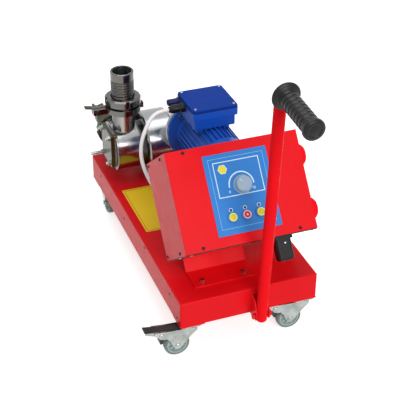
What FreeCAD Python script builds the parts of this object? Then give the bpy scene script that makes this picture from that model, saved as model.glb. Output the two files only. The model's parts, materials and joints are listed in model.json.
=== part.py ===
"""Honey pump on a trolley with a tilted control box, a worm gear motor and a drawbar.

X points right, Y points from the drawbar end to the pump end, Z points up.
The origin is on the floor, under the middle of the bounding box. All sizes are in millimetres.
"""
import FreeCAD, Part
import math
import os
import Sketcher

DOC = FreeCAD.newDocument("HoneyPump")
SHEET = DOC.addObject("Spreadsheet::Sheet", "Sizes")

SIZES = {
    # fits
    "running_gap": 0.06,
    "safe_gap": 0.4,
    # trolley deck, a folded sheet with turned-down sides
    "deck_width": 410,
    "deck_end": 41,
    "deck_height": 81,
    "deck_sheet": 3,
    "deck_bend": 5,
    "pad_width": 72,
    "pad_length": 66,
    "pad_thickness": 3,
    # swivel casters
    "caster_height": 105,
    "caster_inset_x": 34,
    "caster_inset_y": 30,
    "caster_plate": 60,
    "caster_plate_thickness": 3,
    "caster_hole_pitch": 44,
    "caster_hole_radius": 4.2,
    "race_radius": 20,
    "race_height": 6,
    "king_pin_radius": 5,
    "king_pin_head_radius": 8,
    "king_pin_head": 2.5,
    "race_taper": 3,
    "caster_trail": 37,
    "fork_sheet": 2.5,
    "fork_head_length": 42,
    "fork_eye_radius": 11,
    "fork_brow": 6,
    "fork_drop": 16,
    "fork_round": 6,
    "fork_bend": 4,
    "wheel_radius": 37.5,
    "wheel_width": 24,
    "wheel_side_gap": 1.5,
    "hub_radius": 13,
    "rim_radius": 27,
    "web_thickness": 10,
    "tread_round": 5,
    "axle_radius": 4,
    "axle_head_radius": 7,
    "axle_head": 5,
    # brake pedals of the front casters
    "pedal_reach": 132,
    "pedal_thickness": 9,
    "pedal_knee": 40,
    "pedal_rise": 16,
    "pedal_tip_rise": 24,
    "pedal_boss": 6,
    "pedal_under": 4,
    "pedal_round": 1.8,
    "pedal_pivot_back": 24,
    "pedal_pivot_drop": 22,
    "pedal_pin_radius": 3,
    "shoe_gap": 6,
    "shoe_thickness": 7,
    "shoe_drop": 22,
    "shoe_root": 14,
    "shoe_root_drop": 1,
    # drawbar with its bracket and grip
    "bar_x": 226,
    "bar_radius": 16,
    "bar_wall": 2,
    "bar_lean": 4.5,
    "bar_height": 721,
    "bar_bend": 18,
    "bar_foot": 20,
    "bar_pivot_out": 35,
    "bar_pivot_rise": 12,
    "bracket_sheet": 4,
    "bracket_gap": 1,
    "bracket_ear": 11,
    "bracket_height": 70,
    "bracket_slope": 12,
    "bracket_step": 4,
    "pivot_radius": 5,
    "pivot_head": 7,
    "pivot_head_radius": 8.5,
    "grip_flange_radius": 37.5,
    "grip_flange": 14,
    "grip_radius": 22,
    "grip_rib_radius": 25,
    "grip_rib": 7,
    "grip_rib_pitch": 18,
    "grip_length": 168,
    "grip_end_radius": 28.5,
    "grip_end": 16,
    "grip_end_bevel": 7,
    "grip_ribs": 7,
    "grip_first_rib": 8,
    "grip_rib_slope": 2,
    "grip_flange_root": 5,
    "grip_flange_round": 4,
    "grip_flange_back": 3,
    "grip_end_round": 5,
    # control box
    "box_left": 20.5,
    "box_front": 10,
    "box_bottom": 232,
    "box_tilt": 37.8,
    "box_width": 385,
    "box_face": 278,
    "box_depth": 193.6,
    "box_sheet": 2,
    "box_lip": 14,
    "cover_round": 1.5,
    "overlay_left": 100,
    "overlay_width": 185,
    "overlay_bottom": 28.5,
    "overlay_height": 221.5,
    "overlay_thickness": 0.8,
    "knob_x": 197,
    "knob_up": 157,
    "knob_radius": 26,
    "knob_height": 19,
    "knob_skirt": 2,
    "knob_taper": 4,
    "knob_edge": 1,
    "knob_recess": 6,
    "knob_bore_gap": 5,
    "knob_flutes": 24,
    "flute_radius": 2,
    "knob_shaft_radius": 3,
    "bush_radius": 5,
    "bush_proud": 4,
    "bush_depth": 8,
    "potentiometer_radius": 13,
    "potentiometer_depth": 14,
    "button_x": 190,
    "button_pitch": 40.7,
    "button_up": 74.5,
    "button_radius": 11.5,
    "button_proud": 5,
    "button_travel": 3,
    "button_round": 2,
    "button_skirt": 8,
    "button_stem": 14,
    "button_stem_radius": 4,
    "bezel_radius": 15,
    "bezel_proud": 3,
    "bezel_lip": 2.5,
    "bezel_nut": 4,
    "barrel_length": 30,
    "lamp_up": 94.5,
    "lamp_radius": 3.5,
    "lamp_proud": 1.6,
    "lamp_round": 0.8,
    "lamp_lip": 1,
    "lamp_depth": 8,
    "side_cap_radius": 33,
    "side_cap_rim": 7,
    "side_cap_dome": 17,
    "side_cap_brow": 4,
    "side_cap_crown": 14,
    "side_cap_top": 2,
    "side_cap_back": 40,
    "side_cap_upper": 209,
    "side_cap_lower": 57,
    "inlet_x": 286,
    "inlet_back": 36,
    "inlet_width": 45,
    "inlet_thickness": 34,
    "inlet_length": 70,
    "inlet_collar": 11,
    "inlet_flange": 5,
    "inlet_corner": 6,
    "inlet_nose": 9,
    "drive_width": 120,
    "drive_height": 160,
    "drive_depth": 95,
    "drive_low": 40,
    "drive_fins": 7,
    "drive_fin_pitch": 15,
    "drive_fin_slot": 9,
    "drive_fin_depth": 12,
    "drive_margin": 8,
    "entry_x": 59.5,
    "entry_up": 170,
    "entry_radius": 12,
    "entry_length": 28,
    "entry_nut": 8,
    "entry_flange": 2,
    "entry_taper": 6,
    # stand under the control box
    "stand_left": 63,
    "stand_width": 182,
    "stand_sheet": 4,
    "stand_back": 188,
    "stand_front": 6,
    "stand_toe": 55,
    "stand_bolt_left": 29,
    "stand_bolt_pitch": 124,
    "stand_bolt_toe": 21,
    "stand_bolt_radius": 4,
    "stand_bolt_head": 5.5,
    "stand_bolt_head_radius": 7.5,
    "bolt_proud": 12,
    # worm gearbox
    "box_gap": 6.6,
    "pump_z": 190.5,
    "gear_left": 203,
    "gear_width": 134,
    "gear_radius": 86,
    "gear_face_radius": 66,
    "gear_face": 9,
    "gear_centres": 80,
    "gear_neck_radius": 38,
    "gear_neck_back": 42,
    "gear_input": 112,
    "gear_flange": 12,
    "gear_cavity_radius": 64,
    "gear_cavity_width": 52,
    "gear_base_sheet": 5,
    "gear_base_length": 190,
    "gear_base_foot": 24,
    "gear_foot_width": 96,
    "gear_foot_length": 150,
    "gear_foot": 12,
    "gear_bolt_radius": 5,
    "gear_bolt_inset": 13,
    "gear_bolt_head_radius": 9,
    "gear_bolt_head": 6,
    "gear_bolt_end": 10,
    "wheel_gear_radius": 59.5,
    "wheel_gear_width": 44,
    "wheel_gear_hub": 26,
    "wheel_gear_rim": 42,
    "wheel_gear_bevel": 2,
    "worm_radius": 20,
    "worm_length": 52,
    "worm_chamber_radius": 24,
    "worm_stub": 4,
    "gear_end_wall": 10,
    # motor
    "motor_flange_radius": 100,
    "motor_flange": 12,
    "motor_shield": 36,
    "motor_shield_radius": 72,
    "motor_pitch_radius": 82.5,
    "motor_bolt_radius": 5,
    "motor_core_radius": 70,
    "motor_wall": 8,
    "fin_root": 2,
    "fin_clear": 4,
    "motor_length": 222,
    "fin_radius": 78,
    "fin_thickness": 3,
    "fin_count": 32,
    "cowl_start": 218,
    "cowl_length": 248,
    "cowl_sheet": 1.6,
    "cowl_bevel": 6,
    "grille_slots": 12,
    "grille_inner": 22,
    "grille_ring": 40,
    "grille_ring_width": 6,
    "grille_outer": 66,
    "inner_slot": 6,
    "outer_slot": 8,
    "motor_shaft_radius": 12,
    "shaft_end_gap": 1,
    "rotor_radius": 50,
    "rotor_start": 70,
    "rotor_length": 100,
    "fan_radius": 64,
    "fan_start": 228,
    "fan_width": 14,
    "fan_blades": 8,
    "fan_bore": 8,
    "fan_hub": 18,
    "fan_disc": 2,
    "blade_root": 1,
    "blade_tip": 2,
    "blade_sweep": 8,
    "boss_top": 78,
    "boss_inset": 14,
    "boss_root": 20,
    "term_width": 130,
    "term_length": 128,
    "term_height": 58.5,
    "term_base": 34,
    "term_wall": 4,
    "term_corner": 6,
    "hole_play": 3,
    "term_start": 19,
    "lid_width": 142,
    "lid_length": 140,
    "lid_height": 8,
    "lid_corner": 9,
    "lid_round": 3,
    "gland_start": 76,
    "gland_rise": 45,
    "gland_radius": 13,
    "gland_length": 49,
    "gland_hex": 14,
    "gland_flange": 1.5,
    "gland_groove": 1,
    "gland_groove_end": 20,
    "gland_taper": 12,
    "plug_start": 33,
    "plug_radius": 11,
    "plug_length": 38,
    "plug_step": 4,
    "plug_flange": 1,
    "plug_head": 5,
    "plug_bevel": 2,
    # pump
    "drum_radius": 100,
    "drum_length": 82,
    "drum_plate": 8,
    "drum_wall": 4,
    "drum_edge": 4,
    "drum_hub": 40,
    "drum_bore_play": 3,
    "body_radius": 39,
    "body_left": 20,
    "chamber_radius": 33,
    "body_flange": 10,
    "cover_width": 100,
    "cover_low": 44,
    "cover_high": 66,
    "cover_thickness": 12,
    "cover_edge": 2,
    "stud_inset": 12,
    "stud_radius": 5,
    "stud_proud": 14,
    "long_stud": 42,
    "stud_nut_radius": 9,
    "stud_nut": 8,
    "port_x": 66,
    "port_radius": 35,
    "port_bore": 32.5,
    "outlet_height": 136.5,
    "inlet_reach": 122,
    "inlet_thread_length": 22,
    "thread_radius": 47.5,
    "ferrule_radius": 45.5,
    "ferrule_rim": 3,
    "ferrule_slope": 5,
    "adapter_neck": 3,
    "adapter_thread": 20,
    "nut_radius": 55.5,
    "nut_length": 25,
    "nut_lip": 5,
    "nut_bevel": 2,
    "nut_shoulder": 6,
    "nut_shoulder_height": 4,
    "nut_bore_play": 2,
    "nut_slots": 4,
    "nut_slot_width": 12,
    "nut_slot_depth": 5,
    "tail_radius": 36,
    "tail_length": 93,
    "tail_collar": 5,
    "tail_barb_start": 14,
    "tail_barb_pitch": 9,
    "tail_barb_depth": 2,
    "tail_barbs": 6,
    "tail_barb_groove": 3,
    "tail_barb_land": 2,
    "tail_end_bevel": 2,
    "clamp_radius": 54,
    "clamp_height": 18,
    "clamp_ear_reach": 44,
    "clamp_ear_thickness": 11,
    "clamp_split": 5,
    "clamp_bolt_out": 30,
    "hinge_out": 6,
    "hinge_radius": 3,
    "hinge_lug": 8,
    "clamp_bolt_radius": 4,
    "clamp_bolt_head": 6,
    "clamp_bolt_flange": 3,
    "clamp_bolt_end": 14,
    "clamp_ear_root": 6,
    "hinge_play": 1,
    "wing_hub_radius": 9,
    "wing_hub_length": 18,
    "wing_span": 30,
    "wing_thickness": 5,
    "wing_taper": 2,
    "wing_root": 3,
    "wing_rise": 10,
    "pump_shaft_radius": 12.5,
    "shaft_bevel": 1,
    "shaft_inset": 10,
    "shaft_set_back": 2,
    "vane_root": 2,
    "rotor_hub_radius": 17,
    "vane_radius": 31.5,
    "vane_thickness": 6,
    "vane_count": 6,
    "vane_width": 66,
    "seal_radius": 22,
    "body_end_wall": 6,
    # motor cable
    "cord_radius": 5.75,
}


class Size:
    """A length or angle that knows its number and the spreadsheet formula that gives it."""

    def __init__(self, value, text):
        self.value = float(value)
        self.text = text

    def __add__(self, other):
        other = size(other)
        return Size(self.value + other.value, "(%s + %s)" % (self.text, other.text))

    def __radd__(self, other):
        return size(other) + self

    def __sub__(self, other):
        other = size(other)
        return Size(self.value - other.value, "(%s - %s)" % (self.text, other.text))

    def __rsub__(self, other):
        return size(other) - self

    def __mul__(self, other):
        other = size(other)
        return Size(self.value * other.value, "(%s * %s)" % (self.text, other.text))

    def __rmul__(self, other):
        return size(other) * self

    def __truediv__(self, other):
        other = size(other)
        return Size(self.value / other.value, "(%s / %s)" % (self.text, other.text))

    def __neg__(self):
        return Size(-self.value, "(0 - %s)" % self.text)


def size(item):
    """Turn a plain number into a Size."""
    if isinstance(item, Size):
        return item
    return Size(item, repr(float(item)))


def sine(angle):
    return Size(math.sin(math.radians(angle.value)), "sin(%s)" % angle.text)


def cosine(angle):
    return Size(math.cos(math.radians(angle.value)), "cos(%s)" % angle.text)


class Dimensions:
    """Gives each alias of the spreadsheet as a Size."""


D = Dimensions()
for row, (alias, number) in enumerate(SIZES.items(), start=1):
    SHEET.set("A%d" % row, alias)
    SHEET.set("B%d" % row, str(number))
    SHEET.setAlias("B%d" % row, alias)
    setattr(D, alias, Size(number, "Sizes." + alias))
DERIVED_ROWS = [len(SIZES) + 1]


def derive(alias, value):
    """Keep a worked-out size in the spreadsheet under its own alias."""
    row = DERIVED_ROWS[0]
    DERIVED_ROWS[0] = row + 1
    SHEET.set("A%d" % row, alias)
    SHEET.set("B%d" % row, "=" + value.text.replace("Sizes.", ""))
    SHEET.setAlias("B%d" % row, alias)
    setattr(D, alias, Size(value.value, "Sizes." + alias))


# heights above the deck's bottom edge and places that several pieces share
derive("floor_drop", D.caster_height + D.pad_thickness)
derive("box_right", D.box_left + D.box_width)
derive("box_back", D.box_front + D.box_face * sine(D.box_tilt) + D.box_depth * cosine(D.box_tilt))
derive("pump_y", D.box_back + D.box_gap + D.cowl_length + D.gear_input)
derive("deck_length", D.pump_y + D.gear_base_length / 2 + D.gear_base_foot + D.deck_end)
derive("gear_middle", D.gear_left + D.gear_width / 2)
derive("motor_z", D.pump_z + D.gear_centres)
derive("flange_y", D.pump_y - D.gear_input)
derive("outlet_top", D.pump_z + D.outlet_height)
derive("cowl_radius", D.fin_radius + D.cowl_sheet)
derive("fork_top", D.caster_plate_thickness + D.race_height + D.safe_gap)
derive("wheel_drop", D.caster_height - D.wheel_radius)
derive("fork_gap", D.wheel_width + 2 * D.wheel_side_gap)
derive("fork_width", D.fork_gap + 2 * D.fork_sheet)
derive("adapter_low", D.ferrule_rim + D.ferrule_slope + D.adapter_neck)
derive("side_cap_height", D.side_cap_rim + D.side_cap_dome)
derive("grip_start", D.bar_bend + 1)
derive("grip_reach", D.grip_start + D.grip_length)
derive("lean_sine", sine(D.bar_lean))
derive("lean_cosine", cosine(D.bar_lean))
derive("low_x", D.caster_inset_x - D.pedal_reach)
derive("high_x", D.box_right + D.side_cap_height)
derive("low_y", -D.bar_pivot_out - D.grip_reach * D.lean_cosine - D.bar_height * D.lean_sine
       - (D.grip_end_radius - D.grip_end_bevel) * D.lean_sine)
derive("inlet_end", D.pump_y + D.inlet_reach + D.tail_length)
derive("origin_x", (D.low_x + D.high_x) / 2)
derive("origin_y", (D.low_y + D.inlet_end) / 2)
DOC.recompute()

PARTS = []
X_AXIS = FreeCAD.Vector(1, 0, 0)
Y_AXIS = FreeCAD.Vector(0, 1, 0)
Z_AXIS = FreeCAD.Vector(0, 0, 1)
BACKWARD = (X_AXIS, -90)
FORWARD = (X_AXIS, 90)
RIGHTWARD = (Y_AXIS, 90)
LEFTWARD = (Y_AXIS, -90)


def place(item, x, y, z, turn=None):
    """Place an object by its origin in the deck's frame, with a turn about one axis."""
    axis, angle = turn if turn else (Z_AXIS, size(0))
    angle = size(angle)
    item.Placement = FreeCAD.Placement(FreeCAD.Vector(0, 0, 0), FreeCAD.Rotation(axis, angle.value))
    shift = (size(x) - D.origin_x, size(y) - D.origin_y, size(z) + D.floor_drop)
    for letter, value in zip("xyz", shift):
        item.setExpression("Placement.Base." + letter, value.text)
    if "Sizes." in angle.text:
        item.setExpression("Placement.Rotation.Angle", angle.text)


def place_on_box(item, x, y, z, turn=None):
    """Place an object by its origin in the tilted frame of the control box."""
    x, y, z = size(x), size(y), size(z)
    slope_sine, slope_cosine = sine(D.box_tilt), cosine(D.box_tilt)
    where = (D.box_left + x,
             D.box_front + y * slope_cosine + z * slope_sine,
             D.box_bottom - y * slope_sine + z * slope_cosine)
    place(item, where[0], where[1], where[2], (X_AXIS, -D.box_tilt))
    if turn:
        local = FreeCAD.Rotation(turn[0], turn[1])
        tilted = FreeCAD.Rotation(X_AXIS, -D.box_tilt.value).multiply(local)
        item.setExpression("Placement.Rotation.Angle", None)
        item.Placement = FreeCAD.Placement(item.Placement.Base, tilted)


def new_body(label, keep=True):
    """Start a sub-part."""
    body = DOC.addObject("PartDesign::Body", label)
    body.Label = label
    if keep:
        PARTS.append(body)
    return body


def group(label, members):
    """Join like pieces in one node as separate solids."""
    item = DOC.addObject("Part::Compound", label)
    item.Label = label
    item.Links = members
    PARTS.append(item)
    return item


def draw(body, plane, loops, offset=0):
    """Draw closed loops on an origin plane: a list of corners, or a centre and a radius."""
    sketch = body.newObject("Sketcher::SketchObject", body.Name + "_sketch")
    role = plane + "_Plane"
    support = [item for item in body.Origin.OriginFeatures if item.Role == role][0]
    sketch.AttachmentSupport = [(support, "")]
    sketch.MapMode = "FlatFace"
    offset = size(offset)
    sketch.AttachmentOffset = FreeCAD.Placement(FreeCAD.Vector(0, 0, offset.value), FreeCAD.Rotation())
    sketch.setExpression("AttachmentOffset.Base.z", offset.text)
    for loop in loops:
        if len(loop) == 3 and not isinstance(loop[0], tuple):
            draw_circle(sketch, loop)
        else:
            draw_corners(sketch, loop)
    return sketch


def pin_point(sketch, index, point, x, y):
    """Hold a point of the sketch at its distances from the sketch's origin."""
    for kind, value in (("DistanceX", size(x)), ("DistanceY", size(y))):
        number = sketch.addConstraint(Sketcher.Constraint(kind, -1, 1, index, point, value.value))
        if "Sizes." in value.text:
            sketch.setExpression("Constraints[%d]" % number, value.text)


def draw_circle(sketch, loop):
    x, y, radius = size(loop[0]), size(loop[1]), size(loop[2])
    centre = FreeCAD.Vector(x.value, y.value, 0)
    index = sketch.addGeometry(Part.Circle(centre, Z_AXIS, radius.value), False)
    pin_point(sketch, index, 3, x, y)
    number = sketch.addConstraint(Sketcher.Constraint("Radius", index, radius.value))
    if "Sizes." in radius.text:
        sketch.setExpression("Constraints[%d]" % number, radius.text)


def draw_corners(sketch, loop):
    corners = [(size(x), size(y)) for x, y in loop]
    first = sketch.GeometryCount
    count = len(corners)
    for step in range(count):
        start, end = corners[step], corners[(step + 1) % count]
        sketch.addGeometry(Part.LineSegment(FreeCAD.Vector(start[0].value, start[1].value, 0),
                                            FreeCAD.Vector(end[0].value, end[1].value, 0)), False)
    for step in range(count):
        following = first + (step + 1) % count
        sketch.addConstraint(Sketcher.Constraint("Coincident", first + step, 2, following, 1))
        pin_point(sketch, first + step, 1, corners[step][0], corners[step][1])


def rectangle(x_low, x_high, y_low, y_high):
    return [(x_low, y_low), (x_high, y_low), (x_high, y_high), (x_low, y_high)]


def near_side(plane, low, high):
    """Where a sketch stands so that its pad fills from low to high along the plane's axis."""
    return -size(high) if plane == "XZ" else size(low)


def far_side(plane, low, high):
    """Where a sketch stands so that its pocket empties from low to high."""
    return -size(low) if plane == "XZ" else size(high)


def add(body, plane, loops, low, high):
    """Fill the loops between two distances along the axis that the plane faces."""
    sketch = draw(body, plane, loops, near_side(plane, low, high))
    pad = body.newObject("PartDesign::Pad", body.Name + "_pad")
    pad.Profile = sketch
    pad.setExpression("Length", (size(high) - size(low)).text)
    return pad


def cut(body, plane, loops, low, high):
    """Empty the loops between two distances along the axis that the plane faces."""
    sketch = draw(body, plane, loops, far_side(plane, low, high))
    pocket = body.newObject("PartDesign::Pocket", body.Name + "_pocket")
    pocket.Profile = sketch
    pocket.setExpression("Length", (size(high) - size(low)).text)
    return pocket


def turn(body, points, kind="PartDesign::Revolution"):
    """Revolve an outline of (radius, height) points about the body's own Z axis."""
    sketch = draw(body, "XZ", [points])
    feature = body.newObject(kind, body.Name + "_turn")
    feature.Profile = sketch
    feature.ReferenceAxis = (sketch, ["V_Axis"])
    feature.Angle = 360
    return feature


def turned(label, points, keep=True):
    body = new_body(label, keep)
    turn(body, points)
    return body


def around(body, features, count):
    """Repeat features about the body's own Z axis."""
    pattern = body.newObject("PartDesign::PolarPattern", body.Name + "_pattern")
    pattern.Originals = features
    axis = [item for item in body.Origin.OriginFeatures if item.Role == "Z_Axis"][0]
    pattern.Axis = (axis, [""])
    pattern.Angle = 360
    pattern.setExpression("Occurrences", size(count).text)
    body.Tip = pattern
    return pattern


def round_edges(body, radius, wanted, kind="PartDesign::Fillet"):
    """Round or bevel the edges of the body's last feature that pass the test."""
    DOC.recompute()
    base = body.Tip
    names = ["Edge%d" % (number + 1) for number, edge in enumerate(base.Shape.Edges) if wanted(edge)]
    feature = body.newObject(kind, body.Name + "_edges")
    feature.Base = (base, names)
    feature.setExpression("Radius" if kind.endswith("Fillet") else "Size", size(radius).text)
    return feature


def runs_along(edge, axis):
    """True for a straight edge parallel to the axis."""
    if not isinstance(edge.Curve, Part.Line):
        return False
    return edge.Curve.Direction.cross(axis).Length < 1e-6


def edge_middle(edge):
    return edge.valueAt((edge.FirstParameter + edge.LastParameter) / 2)


def is_full_circle(edge, radius, height=None):
    """True for a circle of this radius, at this height when one is given."""
    if not isinstance(edge.Curve, Part.Circle) or abs(edge.Curve.Radius - radius.value) > 1e-4:
        return False
    return height is None or abs(edge.Curve.Center.z - size(height).value) < 1e-4


def hex_corners(radius):
    """Corners of a hexagon by its corner radius, about the sketch's origin."""
    corners = []
    for step in range(6):
        angle = math.radians(60 * step)
        corners.append((radius * math.cos(angle), radius * math.sin(angle)))
    return corners


def hex_bolt(label, radius, length, head_radius, head):
    """A bolt hanging down from its seat, with the head above it."""
    body = new_body(label, keep=False)
    add(body, "XY", [(0, 0, radius)], -length, 0)
    add(body, "XY", [hex_corners(head_radius)], 0, head)
    return body


# trolley deck
def make_deck():
    deck = new_body("deck")
    add(deck, "XY", [rectangle(0, D.deck_width, 0, D.deck_length)], 0, D.deck_height)

    def is_outer_bend(edge):
        top = abs(edge_middle(edge).z - D.deck_height.value) < 1e-4
        return top or runs_along(edge, Z_AXIS)

    round_edges(deck, D.deck_bend, is_outer_bend)
    cut(deck, "XY", [rectangle(D.deck_sheet, D.deck_width - D.deck_sheet,
                               D.deck_sheet, D.deck_length - D.deck_sheet)],
        0, D.deck_height - D.deck_sheet)
    pads = []
    holes = []
    for right in (0, 1):
        for back in (0, 1):
            low_x = right * (D.deck_width - D.pad_width)
            low_y = back * (D.deck_length - D.pad_length)
            pads.append(rectangle(low_x, low_x + D.pad_width, low_y, low_y + D.pad_length))
            middle_x, middle_y = caster_place(right, back)
            for side_x in (-0.5, 0.5):
                for side_y in (-0.5, 0.5):
                    holes.append((middle_x + side_x * D.caster_hole_pitch,
                                  middle_y + side_y * D.caster_hole_pitch, D.caster_hole_radius))
    add(deck, "XY", pads, -D.pad_thickness, 0)
    cut(deck, "XY", holes, -D.pad_thickness, 0)
    bolt_radius = D.stand_bolt_radius + D.safe_gap
    bolts = [(x, y, bolt_radius) for x, y in stand_bolt_places() + base_bolt_places()]
    cut(deck, "XY", bolts, D.deck_height - D.deck_sheet, D.deck_height)
    place(deck, 0, 0, 0)


def caster_place(right, back):
    """Centre of a caster plate, by side and end."""
    x = D.caster_inset_x + right * (D.deck_width - 2 * D.caster_inset_x)
    y = D.caster_inset_y + back * (D.deck_length - 2 * D.caster_inset_y)
    return x, y


# swivel casters: their own frame has the top of the plate's middle as origin, trailing to -X
def make_caster_plate(label):
    plate = new_body(label, keep=False)
    half = D.caster_plate / 2
    add(plate, "XY", [rectangle(-half, half, -half, half)], -D.caster_plate_thickness, 0)
    round_edges(plate, D.deck_bend, lambda edge: runs_along(edge, Z_AXIS))
    pitch = D.caster_hole_pitch / 2
    holes = [(x * pitch, y * pitch, D.caster_hole_radius) for x in (-1, 1) for y in (-1, 1)]
    cut(plate, "XY", holes, -D.caster_plate_thickness, 0)
    race_low = D.caster_plate_thickness + D.race_height
    head_high = D.fork_top + D.fork_sheet + D.safe_gap
    turn(plate, [(0, -D.caster_plate_thickness), (D.race_radius, -D.caster_plate_thickness),
                 (D.race_radius - D.race_taper, -race_low), (D.king_pin_radius, -race_low),
                 (D.king_pin_radius, -head_high), (D.king_pin_head_radius, -head_high),
                 (D.king_pin_head_radius, -head_high - D.king_pin_head),
                 (0, -head_high - D.king_pin_head)])
    return plate


def make_fork(label):
    fork = new_body(label + "_sheet", keep=False)
    half = D.fork_width / 2
    front = D.fork_head_length / 2
    eye = D.fork_eye_radius
    low = -D.wheel_drop
    outline = [(front, -D.fork_top), (-front - D.fork_brow, -D.fork_top), (-D.caster_trail - eye, low),
               (-D.caster_trail, low - eye), (-D.caster_trail + eye, low), (front, -D.fork_top - D.fork_drop)]
    add(fork, "XZ", [outline], -half, half)
    round_edges(fork, D.fork_round, lambda edge: runs_along(edge, Y_AXIS)
                and edge_middle(edge).z < -(D.fork_top + D.fork_drop).value)
    gap = D.fork_gap / 2
    cut(fork, "YZ", [rectangle(-gap, gap, -D.caster_height, -D.fork_top - D.fork_sheet)],
        -D.caster_height, D.caster_height)
    round_edges(fork, D.fork_bend, lambda edge: runs_along(edge, X_AXIS)
                and abs(edge_middle(edge).z + D.fork_top.value) < 1e-4)
    cut(fork, "XY", [(0, 0, D.king_pin_radius + D.running_gap)],
        -D.fork_top - D.fork_sheet, -D.fork_top)
    cut(fork, "XZ", [(-D.caster_trail, low, D.axle_radius)], -half, half)
    axle = new_body(label + "_axle", keep=False)
    add(axle, "XZ", [(-D.caster_trail, low, D.axle_radius)], -half, half)
    add(axle, "XZ", [(-D.caster_trail, low, D.axle_head_radius)], -half - D.axle_head, -half)
    add(axle, "XZ", [(-D.caster_trail, low, D.axle_head_radius)], half, half + D.axle_head)
    return fork, axle


def make_wheel(label):
    wheel = turned(label, [
        (D.axle_radius + D.running_gap, -D.wheel_width / 2),
        (D.hub_radius, -D.wheel_width / 2), (D.hub_radius, -D.web_thickness / 2),
        (D.rim_radius, -D.web_thickness / 2), (D.rim_radius, -D.wheel_width / 2),
        (D.wheel_radius - D.tread_round, -D.wheel_width / 2),
        (D.wheel_radius, -D.wheel_width / 2 + D.tread_round),
        (D.wheel_radius, D.wheel_width / 2 - D.tread_round),
        (D.wheel_radius - D.tread_round, D.wheel_width / 2),
        (D.rim_radius, D.wheel_width / 2), (D.rim_radius, D.web_thickness / 2),
        (D.hub_radius, D.web_thickness / 2), (D.hub_radius, D.wheel_width / 2),
        (D.axle_radius + D.running_gap, D.wheel_width / 2)])
    return wheel


def make_pedal(label):
    """A brake lever that reaches over the wheel, with its shoe and its pivot pin."""
    pedal = new_body(label)
    half = D.fork_gap / 2 - D.safe_gap
    pivot_x, pivot_z = -D.pedal_pivot_back, -D.pedal_pivot_drop
    lever = D.pedal_thickness
    tip = -D.pedal_reach
    over = -D.wheel_drop + D.wheel_radius
    shoe_x = -D.caster_trail - D.wheel_radius - D.shoe_gap
    boss = D.pedal_boss
    knee = tip + D.pedal_knee
    crest = pivot_z + D.pedal_tip_rise
    outline = [(pivot_x + boss, pivot_z - D.pedal_under), (pivot_x + boss, pivot_z + boss),
               (knee, pivot_z + D.pedal_rise), (tip, crest), (tip, crest - lever / 2),
               (knee, pivot_z + D.pedal_rise - lever), (shoe_x - D.shoe_thickness, over - D.shoe_drop),
               (shoe_x, over - D.shoe_drop), (shoe_x + D.shoe_root, pivot_z - D.shoe_root_drop)]
    add(pedal, "XZ", [outline], -half, half)
    round_edges(pedal, D.pedal_round, lambda edge: runs_along(edge, Y_AXIS)
                and edge_middle(edge).x < D.wheel_radius.value - D.pedal_reach.value)
    pin = D.fork_width / 2 + D.safe_gap
    add(pedal, "XZ", [(pivot_x, pivot_z, D.pedal_pin_radius)], -pin, pin)
    return pedal


def make_casters():
    plates = []
    names = (("front_left", 0, 0), ("front_right", 1, 0), ("rear_left", 0, 1), ("rear_right", 1, 1))
    for name, right, back in names:
        x, y = caster_place(right, back)
        top = -D.pad_thickness
        heading = (Z_AXIS, 90) if back else None
        plate = make_caster_plate("caster_plate_" + name)
        place(plate, x, y, top, heading)
        plates.append(plate)
        fork, axle = make_fork("fork_" + name)
        if not back:
            half = D.fork_width / 2
            cut(fork, "XZ", [(-D.pedal_pivot_back, -D.pedal_pivot_drop,
                              D.pedal_pin_radius + D.running_gap)], -half, half)
        place(fork, x, y, top, heading)
        place(axle, x, y, top, heading)
        group("caster_fork_" + name, [fork, axle])
        wheel = make_wheel("caster_wheel_" + name)
        wheel_x = x if back else x - D.caster_trail
        wheel_y = y - D.caster_trail if back else y
        place(wheel, wheel_x, wheel_y, top - D.wheel_drop, RIGHTWARD if back else BACKWARD)
        if not back:
            place(make_pedal("brake_pedal_" + name), x, y, top)
    group("caster_plates", plates)


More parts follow.
